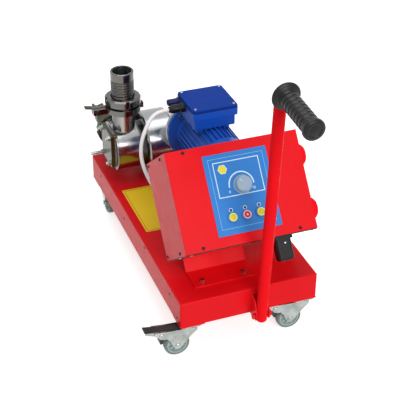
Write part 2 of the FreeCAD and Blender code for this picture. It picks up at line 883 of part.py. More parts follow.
# drawbar: its own frame has the pivot as origin and Z along the tube
def make_drawbar():
    bracket = new_body("drawbar_bracket")
    inner = D.bar_radius + D.bracket_gap
    outer = inner + D.bracket_sheet
    reach = D.bar_pivot_out + D.bracket_ear
    foot = D.bar_pivot_rise - D.bracket_ear
    ear = [(0, D.bracket_height), (0, foot), (-reach, foot), (-reach, D.bar_pivot_rise + D.bracket_ear),
           (-D.bar_pivot_out + D.bracket_step, D.bracket_height - D.bracket_slope)]
    add(bracket, "YZ", [ear], -outer, outer)
    round_edges(bracket, D.bracket_ear - D.bracket_step, lambda edge: runs_along(edge, X_AXIS)
                and edge_middle(edge).y < -(D.bar_pivot_out + D.bracket_step).value)
    cut(bracket, "XY", [rectangle(-inner, inner, -2 * reach, -D.bracket_sheet)],
        -D.bracket_height, 2 * D.bracket_height)
    cut(bracket, "YZ", [(-D.bar_pivot_out, D.bar_pivot_rise, D.pivot_radius)], -outer, outer)
    place(bracket, D.bar_x, 0, 0)

    bolt = new_body("drawbar_bolt")
    ends = outer + D.pivot_head
    add(bolt, "YZ", [(0, 0, D.pivot_radius)], -outer, outer)
    add(bolt, "YZ", [hex_corners(D.pivot_head_radius)], -ends, -outer)
    add(bolt, "YZ", [hex_corners(D.pivot_head_radius)], outer, ends)
    place(bolt, D.bar_x, -D.bar_pivot_out, D.bar_pivot_rise)

    bar = new_body("drawbar")
    straight = D.bar_height - D.bar_bend
    end = D.grip_reach - D.grip_end
    sweep_tube(bar, D.bar_radius, "PartDesign::AdditivePipe", -D.bar_foot, straight, end)
    round_edges(bar, D.bar_radius / 2, lambda edge: is_full_circle(edge, D.bar_radius, -D.bar_foot))
    sweep_tube(bar, D.bar_radius - D.bar_wall, "PartDesign::SubtractivePipe", D.bar_foot, straight,
               end)
    cut(bar, "YZ", [(0, 0, D.pivot_radius + D.running_gap)], -D.bar_radius, D.bar_radius)
    place(bar, D.bar_x, -D.bar_pivot_out, D.bar_pivot_rise, (X_AXIS, D.bar_lean))
    make_grip()


def sweep_tube(body, radius, kind, low, straight, end):
    """Sweep a round section up the tube, round its bend and out to the grip's end."""
    profile = draw(body, "XY", [(0, 0, radius)], low)
    path = body.newObject("Sketcher::SketchObject", body.Name + "_path")
    support = [item for item in body.Origin.OriginFeatures if item.Role == "YZ_Plane"][0]
    path.AttachmentSupport = [(support, "")]
    path.MapMode = "FlatFace"
    low, straight, end, bend = size(low), size(straight), size(end), D.bar_bend
    centre = FreeCAD.Vector(-bend.value, straight.value, 0)
    top = straight + bend
    path.addGeometry(Part.LineSegment(FreeCAD.Vector(0, low.value, 0),
                                      FreeCAD.Vector(0, straight.value, 0)), False)
    circle = Part.Circle(centre, Z_AXIS, bend.value)
    path.addGeometry(Part.ArcOfCircle(circle, 0, math.pi / 2), False)
    path.addGeometry(Part.LineSegment(FreeCAD.Vector(-bend.value, top.value, 0),
                                      FreeCAD.Vector(-end.value, top.value, 0)), False)
    path.addConstraint(Sketcher.Constraint("Coincident", 0, 2, 1, 1))
    path.addConstraint(Sketcher.Constraint("Coincident", 1, 2, 2, 1))
    pin_point(path, 0, 1, 0, low)
    pin_point(path, 0, 2, 0, straight)
    pin_point(path, 1, 3, -bend, straight)
    number = path.addConstraint(Sketcher.Constraint("DistanceX", -1, 1, 2, 1, -bend.value))
    path.setExpression("Constraints[%d]" % number, (-bend).text)
    pin_point(path, 2, 2, -end, top)
    pipe = body.newObject(kind, body.Name + "_pipe")
    pipe.Profile = profile
    pipe.Spine = path
    return pipe


def make_grip():
    """A rubber grip with a domed collar, ribs and a mushroom end, pushed on the tube."""
    flange = D.grip_flange
    bore = D.bar_radius
    brow = D.grip_flange_round
    slope = D.grip_rib_slope
    profile = [(bore, 0), (bore + D.grip_flange_root, 0), (D.grip_flange_radius - brow, flange / 3),
               (D.grip_flange_radius, flange - brow), (D.grip_flange_radius, flange),
               (D.grip_rib_radius, flange + D.grip_flange_back)]
    first = flange + D.grip_first_rib
    for step in range(int(D.grip_ribs.value)):
        start = first + step * D.grip_rib_pitch
        profile += [(D.grip_radius, start), (D.grip_radius, start + D.grip_rib_pitch - D.grip_rib),
                    (D.grip_rib_radius, start + D.grip_rib_pitch - D.grip_rib + slope),
                    (D.grip_rib_radius, start + D.grip_rib_pitch - slope)]
    end = D.grip_length
    profile += [(D.grip_radius, end - D.grip_end), (D.grip_end_radius, end - D.grip_end + slope),
                (D.grip_end_radius, end - D.grip_end_round),
                (D.grip_end_radius - D.grip_end_bevel, end), (0, end),
                (0, end - D.grip_end), (bore, end - D.grip_end)]
    grip = turned("grip", profile)
    place(grip, D.bar_x,
          -D.bar_pivot_out - D.bar_height * D.lean_sine - D.grip_start * D.lean_cosine,
          D.bar_pivot_rise + D.bar_height * D.lean_cosine - D.grip_start * D.lean_sine,
          (X_AXIS, D.bar_lean + 90))


# stand under the control box
def box_point(back, down):
    """Height and depth of a point measured along the box's underside and square to it."""
    y = D.box_front + back * cosine(D.box_tilt) - down * sine(D.box_tilt)
    z = D.box_bottom - back * sine(D.box_tilt) - down * cosine(D.box_tilt)
    return y, z


def foot_point(back, height):
    """Where the riser's face at this distance along the underside meets a height."""
    y, z = box_point(back, size(0))
    drop = (z - height) / cosine(D.box_tilt)
    return y - drop * sine(D.box_tilt), height


def stand_bolt_places():
    y = D.stand_toe + D.stand_bolt_toe
    left = D.stand_left + D.stand_bolt_left
    return [(left, y), (left + D.stand_bolt_pitch, y)]


def make_stand():
    stand = new_body("stand_bracket")
    sheet = D.stand_sheet
    nothing = size(0)
    outline = [(D.stand_toe, D.deck_height), foot_point(D.stand_back, D.deck_height),
               box_point(D.stand_back, nothing), box_point(D.stand_front, nothing),
               box_point(D.stand_front, sheet), box_point(D.stand_back - sheet, sheet),
               foot_point(D.stand_back - sheet, D.deck_height + sheet),
               (D.stand_toe, D.deck_height + sheet)]
    add(stand, "YZ", [outline], 0, D.stand_width)
    holes = [(x - D.stand_left, y, D.stand_bolt_radius + D.safe_gap) for x, y in stand_bolt_places()]
    cut(stand, "XY", holes, D.deck_height - 1, D.deck_height + sheet + 1)
    place(stand, D.stand_left, 0, 0)
    return make_deck_bolts("stand_bolt", stand_bolt_places(), sheet)


def make_deck_bolts(label, places, sheet):
    """Bolts that hold a sheet foot down on the deck."""
    bolts = []
    for number, (x, y) in enumerate(places):
        bolt = hex_bolt("%s_%d" % (label, number), D.stand_bolt_radius,
                        sheet + D.deck_sheet + D.bolt_proud, D.stand_bolt_head_radius, D.stand_bolt_head)
        place(bolt, x, y, D.deck_height + sheet)
        bolts.append(bolt)
    return bolts


# control box: its own frame has the lower left corner of the front as origin, Z up the face
def make_box():
    housing = new_body("box_housing")
    sheet = D.box_sheet
    add(housing, "XZ", [rectangle(0, D.box_width, 0, D.box_face)], sheet, D.box_depth)
    cut(housing, "XZ", [rectangle(sheet, D.box_width - sheet, sheet, D.box_face - sheet)],
        2 * sheet, D.box_depth - sheet)
    lip = D.box_lip
    cut(housing, "XZ", [rectangle(lip, D.box_width - lip, lip, D.box_face - lip)], sheet, 2 * sheet)
    cut(housing, "XZ", [(D.entry_x, D.entry_up, D.cord_radius + D.safe_gap)],
        D.box_depth - sheet, D.box_depth)
    place_on_box(housing, 0, 0, 0)

    cover = new_body("box_cover")
    add(cover, "XZ", [rectangle(0, D.box_width, 0, D.box_face)], 0, sheet)
    round_edges(cover, D.cover_round, lambda edge: abs(edge_middle(edge).y) < 1e-4)
    holes = [(D.knob_x, D.knob_up, D.bush_radius)]
    holes += [(x, D.button_up, D.bezel_radius - D.bezel_lip) for x in button_places()]
    holes += [(x, D.lamp_up, D.lamp_radius - D.lamp_lip) for x in button_places()]
    cut(cover, "XZ", holes, 0, sheet)
    place_on_box(cover, 0, 0, 0)

    overlay = new_body("panel_overlay")
    add(overlay, "XZ", [rectangle(D.overlay_left, D.overlay_left + D.overlay_width, D.overlay_bottom,
                                  D.overlay_bottom + D.overlay_height)], -D.overlay_thickness, 0)
    cut(overlay, "XZ", holes, -D.overlay_thickness, 0)
    place_on_box(overlay, 0, 0, 0)
    make_controls()
    make_box_fittings()


def button_places():
    return [D.button_x + step * D.button_pitch for step in (-1, 0, 1)]


def make_controls():
    """Knob with its potentiometer, push buttons in their bodies and indicator lamps."""
    front = D.overlay_thickness
    skirt = D.knob_skirt
    crown = D.knob_radius - D.knob_taper
    recess = D.bush_radius + D.knob_bore_gap
    stem = front + D.box_sheet + D.knob_recess
    knob = turned("speed_knob", [
        (0, -D.knob_height), (crown - D.knob_edge, -D.knob_height), (crown, -D.knob_height + D.knob_edge),
        (D.knob_radius - skirt, -skirt - D.knob_edge), (D.knob_radius, -skirt), (D.knob_radius, 0),
        (recess, 0), (recess, -D.knob_recess), (D.knob_shaft_radius, -D.knob_recess),
        (D.knob_shaft_radius, stem), (0, stem)])
    flute = cut(knob, "XY", [(D.knob_radius - D.knob_edge, 0, D.flute_radius)], -D.knob_height,
                -2 * skirt)
    around(knob, [flute], D.knob_flutes)
    place_on_box(knob, D.knob_x, -front - D.safe_gap, D.knob_up, BACKWARD)

    pot = turned("speed_potentiometer", [
        (D.knob_shaft_radius + D.running_gap, -front - D.bush_proud),
        (D.bush_radius, -front - D.bush_proud), (D.bush_radius, D.box_sheet),
        (D.potentiometer_radius, D.box_sheet),
        (D.potentiometer_radius, D.box_sheet + D.potentiometer_depth),
        (0, D.box_sheet + D.potentiometer_depth), (0, D.box_sheet + D.bush_depth),
        (D.knob_shaft_radius + D.running_gap, D.box_sheet + D.bush_depth)])
    place_on_box(pot, D.knob_x, 0, D.knob_up, BACKWARD)

    bodies = []
    lamps = []
    crest = D.bezel_proud + D.button_proud
    bore = D.button_radius + D.running_gap
    neck = D.bezel_radius - D.bezel_lip
    depth = front + D.box_sheet
    bottom = D.button_stem + D.button_travel + D.safe_gap
    for name, x in zip(("left", "stop", "right"), button_places()):
        button = turned("button_" + name, [
            (0, -crest), (D.button_radius - D.button_round, -crest),
            (D.button_radius, -crest + D.button_round), (D.button_radius, D.button_skirt),
            (D.button_stem_radius, D.button_skirt), (D.button_stem_radius, D.button_stem),
            (0, D.button_stem)])
        place_on_box(button, x, -front, D.button_up, BACKWARD)
        body = turned("button_body_" + name, [
            (bore, -D.bezel_proud), (D.bezel_radius, -D.bezel_proud), (D.bezel_radius, 0), (neck, 0),
            (neck, depth), (neck + D.bezel_nut, depth), (neck + D.bezel_nut, D.barrel_length),
            (0, D.barrel_length), (0, bottom), (bore, bottom)], keep=False)
        place_on_box(body, x, -front, D.button_up, BACKWARD)
        bodies.append(body)
        lamp = turned("lamp_" + name, [
            (0, -D.lamp_proud), (D.lamp_radius - D.lamp_round, -D.lamp_proud), (D.lamp_radius, 0),
            (D.lamp_radius - D.lamp_lip, 0), (D.lamp_radius - D.lamp_lip, D.lamp_depth),
            (0, D.lamp_depth)], keep=False)
        place_on_box(lamp, x, -front, D.lamp_up, BACKWARD)
        lamps.append(lamp)
    group("button_bodies", bodies)
    group("indicator_lamps", lamps)


def make_box_fittings():
    caps = []
    for name, up in (("upper", D.side_cap_upper), ("lower", D.side_cap_lower)):
        rim, dome, radius = D.side_cap_rim, D.side_cap_dome, D.side_cap_radius
        cap = turned("side_cap_" + name, [
            (0, 0), (radius, 0), (radius, rim), (radius - D.side_cap_brow, rim + dome / 2),
            (radius - D.side_cap_crown, rim + dome - D.side_cap_top), (0, rim + dome)], keep=False)
        place_on_box(cap, D.box_width, D.side_cap_back, up, RIGHTWARD)
        caps.append(cap)
    group("side_caps", caps)

    inlet = new_body("power_connector")
    half_wide, half_thick = D.inlet_width / 2, D.inlet_thickness / 2
    collar = D.inlet_flange
    add(inlet, "XY", [rectangle(-half_wide - collar, half_wide + collar,
                                -half_thick - collar, half_thick + collar)], -D.inlet_collar, 0)
    add(inlet, "XY", [rectangle(-half_wide, half_wide, -half_thick, half_thick)],
        -D.inlet_length, -D.inlet_collar)
    round_edges(inlet, D.inlet_corner, lambda edge: runs_along(edge, Z_AXIS))
    round_edges(inlet, D.inlet_nose, lambda edge: abs(edge_middle(edge).z + D.inlet_length.value) < 1e-4)
    place_on_box(inlet, D.inlet_x, D.inlet_back, 0)

    drive = new_body("drive_unit")
    middle = D.box_width / 2
    rear = D.box_depth - D.box_sheet
    low = D.drive_low
    add(drive, "XZ", [rectangle(middle - D.drive_width / 2, middle + D.drive_width / 2,
                                low, low + D.drive_height)], rear - D.drive_depth, rear)
    fins = []
    for step in range(int(D.drive_fins.value)):
        left = middle - D.drive_width / 2 + D.drive_margin + step * D.drive_fin_pitch
        fins.append(rectangle(left, left + D.drive_fin_slot, low + D.drive_margin,
                              low + D.drive_height - D.drive_margin))
    cut(drive, "XZ", fins, rear - D.drive_depth, rear - D.drive_depth + D.drive_fin_depth)
    place_on_box(drive, 0, 0, 0)

    flange = D.entry_radius + D.entry_flange
    entry = turned("cable_entry", [
        (D.cord_radius, 0), (flange, 0), (flange, D.entry_nut),
        (D.entry_radius, D.entry_nut + D.entry_flange),
        (D.entry_radius, D.entry_length - D.entry_taper),
        (D.cord_radius + D.entry_flange, D.entry_length),
        (D.cord_radius, D.entry_length)])
    place_on_box(entry, D.entry_x, D.box_depth, D.entry_up, BACKWARD)


# worm gearbox: its own frame has the output axis at the pump's middle as origin
def gear_bolt_places():
    places = []
    for side_x in (-1, 1):
        for side_y in (-1, 1):
            places.append((D.gear_middle + side_x * (D.gear_foot_width / 2 - D.gear_bolt_inset),
                           D.pump_y + side_y * (D.gear_foot_length / 2 - D.gear_bolt_inset)))
    return places


def base_bolt_places():
    """Bolts of the gearbox base into the deck."""
    along = D.gear_base_length / 2 + (D.gear_base_sheet + D.gear_base_foot) / 2
    across = D.gear_foot_width / 4
    return [(D.gear_middle + side_x * across, D.pump_y + side_y * along)
            for side_x in (-1, 1) for side_y in (-1, 1)]


def make_gearbox():
    case = new_body("gearbox_housing")
    left, right = D.gear_left, D.gear_left + D.gear_width
    add(case, "YZ", [(0, 0, D.gear_radius)], left + D.gear_face, right - D.gear_face)
    add(case, "YZ", [(0, 0, D.gear_face_radius)], left, right)
    add(case, "XZ", [(D.gear_middle, D.gear_centres, D.gear_neck_radius)],
        -D.gear_input + D.gear_flange, D.gear_neck_back)
    add(case, "XZ", [(D.gear_middle, D.gear_centres, D.motor_flange_radius)],
        -D.gear_input, -D.gear_input + D.gear_flange)
    half_foot = D.gear_foot_width / 2
    add(case, "XY", [rectangle(D.gear_middle - half_foot, D.gear_middle + half_foot,
                               -D.gear_foot_length / 2, D.gear_foot_length / 2)],
        -D.gear_radius, -D.gear_radius + D.gear_foot)
    half_cavity = D.gear_cavity_width / 2
    cut(case, "YZ", [(0, 0, D.gear_cavity_radius)],
        D.gear_middle - half_cavity, D.gear_middle + half_cavity)
    cut(case, "XZ", [(D.gear_middle, D.gear_centres, D.worm_chamber_radius)],
        -D.gear_input, D.gear_neck_back - D.gear_end_wall)
    cut(case, "YZ", [(0, 0, D.pump_shaft_radius + D.running_gap)], left, right)
    holes = [(x, y - D.pump_y, D.gear_bolt_radius) for x, y in gear_bolt_places()]
    cut(case, "XY", holes, -D.gear_radius, -D.gear_radius + D.gear_foot)
    cut(case, "XZ", flange_holes(D.gear_middle, D.gear_centres), -D.gear_input,
        -D.gear_input + D.gear_flange)
    place(case, 0, D.pump_y, D.pump_z)

    base = new_body("gearbox_base")
    sheet = D.gear_base_sheet
    rise = D.pump_z - D.gear_radius - D.deck_height
    half = D.gear_base_length / 2
    foot = half + D.gear_base_foot
    outline = [(-foot, 0), (-half, 0), (-half, rise - sheet), (half, rise - sheet), (half, 0),
               (foot, 0), (foot, sheet), (half + sheet, sheet), (half + sheet, rise),
               (-half - sheet, rise), (-half - sheet, sheet), (-foot, sheet)]
    add(base, "YZ", [outline], D.gear_middle - half_foot, D.gear_middle + half_foot)
    cut(base, "XY", holes, rise - sheet, rise)
    feet = [(x, y - D.pump_y, D.stand_bolt_radius + D.safe_gap) for x, y in base_bolt_places()]
    cut(base, "XY", feet, 0, sheet)
    place(base, 0, D.pump_y, D.deck_height)
    return make_gear_bolts(rise) + make_deck_bolts("base_bolt", base_bolt_places(), sheet)


def flange_holes(x, z):
    """Four bolt holes of the round motor flange, in the plane square to the motor's axis."""
    diagonal = D.motor_pitch_radius * math.sqrt(0.5)
    return [(x + side_x * diagonal, z + side_z * diagonal, D.motor_bolt_radius)
            for side_x in (-1, 1) for side_z in (-1, 1)]


def make_gear_bolts(rise):
    bolts = []
    for number, (x, y) in enumerate(gear_bolt_places()):
        bolt = hex_bolt("foot_bolt_%d" % number, D.gear_bolt_radius,
                        D.gear_foot + D.gear_base_sheet + D.gear_bolt_head,
                        D.gear_bolt_head_radius, D.gear_bolt_head)
        place(bolt, x, y, D.deck_height + rise + D.gear_foot)
        bolts.append(bolt)
    for number, (x, z, radius) in enumerate(flange_holes(D.gear_middle, D.motor_z)):
        bolt = hex_bolt("flange_bolt_%d" % number, radius, D.gear_flange + D.motor_flange + D.gear_bolt_end,
                        D.gear_bolt_head_radius, D.gear_bolt_head)
        place(bolt, x, D.flange_y - D.motor_flange, z, FORWARD)
        bolts.append(bolt)
    return bolts


def make_gears():
    half, web = D.wheel_gear_width / 2, D.wheel_gear_width / 4
    bore, hub, rim = D.pump_shaft_radius, D.wheel_gear_hub, D.wheel_gear_rim
    bevel = D.wheel_gear_bevel
    wheel = turned("worm_wheel", [
        (bore, -half), (hub, -half), (hub, -web), (rim, -web), (rim, -half),
        (D.wheel_gear_radius - bevel, -half), (D.wheel_gear_radius, -half + bevel),
        (D.wheel_gear_radius, half - bevel), (D.wheel_gear_radius - bevel, half),
        (rim, half), (rim, web), (hub, web), (hub, half), (bore, half)])
    place(wheel, D.gear_middle, D.pump_y, D.pump_z, RIGHTWARD)

    rotor_high = D.rotor_start + D.rotor_length
    shaft_low = -D.gear_input - D.worm_length / 2 - D.worm_stub
    shaft_high = D.fan_start + D.fan_width + D.shaft_end_gap
    shaft = turned("motor_shaft", [
        (0, shaft_low), (D.motor_shaft_radius, shaft_low),
        (D.motor_shaft_radius, -D.gear_input - D.worm_length / 2),
        (D.worm_radius, -D.gear_input - D.worm_length / 2),
        (D.worm_radius, -D.gear_input + D.worm_length / 2),
        (D.motor_shaft_radius, -D.gear_input + D.worm_length / 2), (D.motor_shaft_radius, D.rotor_start),
        (D.rotor_radius, D.rotor_start), (D.rotor_radius, rotor_high),
        (D.motor_shaft_radius, rotor_high), (D.motor_shaft_radius, D.motor_length + D.shaft_end_gap),
        (D.fan_bore, D.motor_length + D.shaft_end_gap), (D.fan_bore, shaft_high), (0, shaft_high)])
    place(shaft, D.gear_middle, D.flange_y, D.motor_z, FORWARD)


# motor: its own frame has the flange face as origin, Z along the axis towards the fan, Y up
def make_motor():
    shield = turned("motor_flange", [
        (D.motor_shaft_radius + D.running_gap, 0), (D.motor_flange_radius, 0),
        (D.motor_flange_radius, D.motor_flange), (D.motor_shield_radius, D.motor_flange),
        (D.motor_shield_radius, D.motor_shield),
        (D.motor_shaft_radius + D.running_gap, D.motor_shield)])
    cut(shield, "XY", flange_holes(0, 0), 0, D.motor_flange)
    place(shield, D.gear_middle, D.flange_y, D.motor_z, FORWARD)

    inner = D.motor_core_radius - D.motor_wall
    frame = turned("motor_housing", [
        (inner, D.motor_shield), (D.motor_core_radius, D.motor_shield),
        (D.motor_core_radius, D.cowl_start), (D.fin_radius, D.cowl_start),
        (D.fin_radius, D.motor_length), (D.motor_shaft_radius + D.running_gap, D.motor_length),
        (D.motor_shaft_radius + D.running_gap, D.motor_length - D.motor_wall),
        (inner, D.motor_length - D.motor_wall)])
    half = D.fin_thickness / 2
    fin = add(frame, "XY", [rectangle(D.motor_core_radius - D.fin_root, D.fin_radius, -half, half)],
              D.motor_shield + D.fin_clear, D.cowl_start)
    around(frame, [fin], D.fin_count)
    wide = D.term_width / 2 - D.boss_inset
    add(frame, "XY", [rectangle(-wide, wide, D.motor_core_radius - D.boss_root, D.boss_top)],
        D.motor_shield, D.term_start + D.term_length - D.boss_inset)
    place(frame, D.gear_middle, D.flange_y, D.motor_z, FORWARD)
    make_cowl()
    make_terminal_box()


def make_cowl():
    """Fan cowl with a grille of slots in its end, and the fan inside it."""
    sheet, bevel = D.cowl_sheet, D.cowl_bevel
    cowl = turned("fan_cowl", [
        (D.cowl_radius - sheet, D.cowl_start), (D.cowl_radius, D.cowl_start),
        (D.cowl_radius, D.cowl_length - bevel), (D.cowl_radius - bevel, D.cowl_length), (0, D.cowl_length),
        (0, D.cowl_length - sheet), (D.cowl_radius - bevel - sheet, D.cowl_length - sheet),
        (D.cowl_radius - sheet, D.cowl_length - bevel - sheet)])
    inner = rectangle(D.grille_inner, D.grille_ring, -D.inner_slot / 2, D.inner_slot / 2)
    outer = rectangle(D.grille_ring + D.grille_ring_width, D.grille_outer, -D.outer_slot / 2,
                      D.outer_slot / 2)
    slots = cut(cowl, "XY", [inner, outer], D.cowl_length - sheet, D.cowl_length)
    around(cowl, [slots], D.grille_slots)
    place(cowl, D.gear_middle, D.flange_y, D.motor_z, FORWARD)

    start, width = D.fan_start, D.fan_width
    fan = turned("fan", [
        (D.fan_bore, start), (D.fan_radius, start), (D.fan_radius, start + D.fan_disc),
        (D.fan_hub, start + D.fan_disc), (D.fan_hub, start + width), (D.fan_bore, start + width)])
    root, tip, sweep = D.blade_root, D.fan_radius - D.blade_tip, D.blade_sweep
    outline = [(D.fan_hub - root, -root), (tip, sweep), (tip, sweep + 2 * root), (D.fan_hub - root, root)]
    blade = add(fan, "XY", [outline], start + root, start + width)
    around(fan, [blade], D.fan_blades)
    place(fan, D.gear_middle, D.flange_y, D.motor_z, FORWARD)


def make_terminal_box():
    wide, long = D.term_width / 2, D.term_length
    low, high = D.boss_top, D.boss_top + D.term_height
    start, wall = D.term_start, D.term_wall
    box = new_body("terminal_box")
    half = D.lid_width / 2
    middle = start + long / 2
    rim = rectangle(-half, half, middle - D.lid_length / 2, middle + D.lid_length / 2)
    add(box, "XZ", [rectangle(-wide, wide, start, start + long)], low, high)
    add(box, "XZ", [rim], low + D.term_base, high)
    round_edges(box, D.term_corner, lambda edge: runs_along(edge, Y_AXIS))
    cut(box, "XZ", [rectangle(-wide + wall, wide - wall, start + wall, start + long - wall)],
        low + wall, high)
    rise = low + D.gland_rise
    through = half - wide + wall
    plug_thread = D.plug_radius - D.plug_step
    cut(box, "YZ", [(rise, D.gland_start, D.cord_radius + D.hole_play), (rise, D.plug_start, plug_thread)],
        -half, -half + through)
    place(box, D.gear_middle, D.flange_y, D.motor_z, FORWARD)

    lid = new_body("terminal_lid")
    add(lid, "XZ", [rim], high, high + D.lid_height)
    round_edges(lid, D.lid_corner, lambda edge: runs_along(edge, Y_AXIS))
    round_edges(lid, D.lid_round, lambda edge: abs(edge_middle(edge).y - (high + D.lid_height).value) < 1e-4)
    place(lid, D.gear_middle, D.flange_y, D.motor_z, FORWARD)

    bore = D.cord_radius
    wall, flange = bore + D.hole_play, D.gland_radius + D.gland_flange
    groove = D.gland_radius - D.gland_groove
    gland = turned("cable_gland", [
        (bore, -through), (wall, -through), (wall, 0), (flange, 0), (flange, D.gland_hex),
        (groove, D.gland_hex + 2 * D.gland_groove), (groove, D.gland_groove_end),
        (D.gland_radius, D.gland_groove_end + D.gland_groove),
        (D.gland_radius, D.gland_length - D.gland_taper), (wall, D.gland_length), (bore, D.gland_length)])
    place(gland, D.gear_middle - half, D.flange_y - D.gland_start, D.motor_z + rise, LEFTWARD)
    flange, stem, tip = D.plug_radius + D.plug_flange, D.plug_radius - D.plug_flange, D.plug_bevel
    plug = turned("blanking_plug", [
        (0, -through), (plug_thread, -through), (plug_thread, 0), (flange, 0), (flange, D.plug_head),
        (stem, D.plug_head + D.plug_flange), (stem, D.plug_length - tip), (stem - tip, D.plug_length),
        (0, D.plug_length)])
    place(plug, D.gear_middle - half, D.flange_y - D.plug_start, D.motor_z + rise, LEFTWARD)


# pump: frames with the pump's axis as origin, or turned pieces along X
def make_drum():
    plate, wall, edge = D.drum_plate, D.drum_wall, D.drum_edge
    bore = D.pump_shaft_radius + D.drum_bore_play
    drum = turned("drum", [
        (bore, 0), (D.drum_radius - edge, 0), (D.drum_radius, edge), (D.drum_radius, D.drum_length),
        (D.drum_hub, D.drum_length), (D.drum_hub, D.drum_length - plate),
        (D.drum_radius - wall, D.drum_length - plate),
        (D.drum_radius - wall, plate), (bore, plate)])
    place(drum, D.gear_left - D.drum_length, D.pump_y, D.pump_z, RIGHTWARD)


def make_pump_body():
    """Cast body, with the crossing of its ports and the pump's axis as the origin of its frame."""
    body = new_body("pump_body")
    left, right = D.body_left - D.port_x, D.gear_left - D.drum_length - D.port_x
    half = D.cover_width / 2
    flange = left + D.body_flange
    add(body, "YZ", [(0, 0, D.body_radius)], left, right)
    add(body, "YZ", [rectangle(-half, half, -D.cover_low, D.cover_high)], left, flange)
    top = D.outlet_height
    root = D.body_radius / 3
    rim = top - D.ferrule_rim
    turn(body, [(0, root), (D.port_radius, root), (D.port_radius, rim - D.ferrule_slope),
                (D.ferrule_radius, rim), (D.ferrule_radius, top), (0, top)])
    add(body, "XZ", [(0, 0, D.port_radius)], root, D.inlet_reach)
    add(body, "XZ", [(0, 0, D.thread_radius)], D.inlet_reach - D.inlet_thread_length, D.inlet_reach)
    cut(body, "YZ", [(0, 0, D.chamber_radius)], left, right - D.body_end_wall)
    cut(body, "XY", [(0, 0, D.port_bore)], 0, top)
    cut(body, "XZ", [(0, 0, D.port_bore)], 0, D.inlet_reach)
    cut(body, "YZ", [(0, 0, D.seal_radius)], right - D.body_end_wall, right)
    cut(body, "YZ", stud_places(), left, flange)
    place(body, D.port_x, D.pump_y, D.pump_z)

    cover = new_body("pump_cover")
    face = D.body_left
    add(cover, "YZ", [rectangle(-half, half, -D.cover_low, D.cover_high)],
        face - D.cover_thickness, face)
    cut(cover, "YZ", stud_places(), face - D.cover_thickness, face)
    round_edges(cover, D.cover_edge, lambda edge: runs_along(edge, X_AXIS) and len(edge.Vertexes) == 2
                and abs(abs(edge_middle(edge).y) - half.value) < 1e-4)
    place(cover, 0, D.pump_y, D.pump_z)
    make_studs()

    seal = turned("shaft_seal", [
        (D.pump_shaft_radius + D.running_gap, 0), (D.seal_radius, 0),
        (D.seal_radius, D.body_end_wall), (D.pump_shaft_radius + D.running_gap, D.body_end_wall)])
    place(seal, D.port_x + right - D.body_end_wall, D.pump_y, D.pump_z, RIGHTWARD)


def stud_places():
    """The cover's four studs, in the plane square to the pump's axis."""
    half = D.cover_width / 2 - D.stud_inset
    low, high = -D.cover_low + D.stud_inset, D.cover_high - D.stud_inset
    return [(side * half, up, D.stud_radius) for side in (-1, 1) for up in (low, high)]


def make_studs():
    studs = []
    face = D.body_left - D.cover_thickness
    for number, (y, z, radius) in enumerate(stud_places()):
        stud = new_body("cover_stud_%d" % number, keep=False)
        proud = D.long_stud if number == 2 else D.stud_proud
        grip = D.cover_thickness + D.body_flange
        add(stud, "XY", [(0, 0, radius)], -proud, grip)
        add(stud, "XY", [hex_corners(D.stud_nut_radius)], -D.stud_nut, 0)
        place(stud, face, D.pump_y + y, D.pump_z + z, RIGHTWARD)
        studs.append(stud)
    group("cover_studs", studs)


def make_rotor():
    left = D.body_left + D.shaft_inset
    right = D.gear_left + D.gear_width - D.shaft_set_back
    shaft = turned("pump_shaft", [
        (0, 0), (D.pump_shaft_radius - D.shaft_bevel, 0), (D.pump_shaft_radius, D.shaft_bevel),
        (D.pump_shaft_radius, right - left), (0, right - left)])
    place(shaft, left, D.pump_y, D.pump_z, RIGHTWARD)
    start = D.port_x - D.vane_width / 2 - left
    rotor = turned("pump_rotor", [
        (D.pump_shaft_radius, start), (D.rotor_hub_radius, start),
        (D.rotor_hub_radius, start + D.vane_width), (D.pump_shaft_radius, start + D.vane_width)])
    half = D.vane_thickness / 2
    vane = add(rotor, "XY", [rectangle(D.rotor_hub_radius - D.vane_root, D.vane_radius, -half, half)],
               start, start + D.vane_width)
    around(rotor, [vane], D.vane_count)
    place(rotor, left, D.pump_y, D.pump_z, RIGHTWARD)


def make_adapter():
    """Short pipe with a clamp rim below and a round thread above."""
    low = D.ferrule_rim
    neck = D.adapter_low
    top = neck + D.adapter_thread
    adapter = turned("outlet_adapter", [
        (D.port_bore, 0), (D.ferrule_radius, 0), (D.ferrule_radius, low),
        (D.port_radius, low + D.ferrule_slope), (D.port_radius, neck),
        (D.thread_radius, neck), (D.thread_radius, top), (D.port_bore, top)])
    place(adapter, D.port_x, D.pump_y, D.outlet_top)


def make_nut(label):
    """Slotted round nut: its seat face is at zero, the hose tail passes through its far end."""
    bore, seat = D.tail_radius + D.nut_bore_play, D.nut_length - D.nut_lip
    nut = turned(label, [
        (D.thread_radius, 0), (D.nut_radius - D.nut_bevel, 0), (D.nut_radius, D.nut_bevel),
        (D.nut_radius, D.nut_length - D.nut_shoulder_height),
        (D.nut_radius - D.nut_shoulder, D.nut_length), (bore, D.nut_length), (bore, seat),
        (D.thread_radius, seat)])
    half = D.nut_slot_width / 2
    depth = D.nut_slot_depth
    slot = cut(nut, "XY", [rectangle(D.nut_radius - depth, D.nut_radius + depth, -half, half)],
               0, D.nut_length)
    around(nut, [slot], D.nut_slots)
    return nut


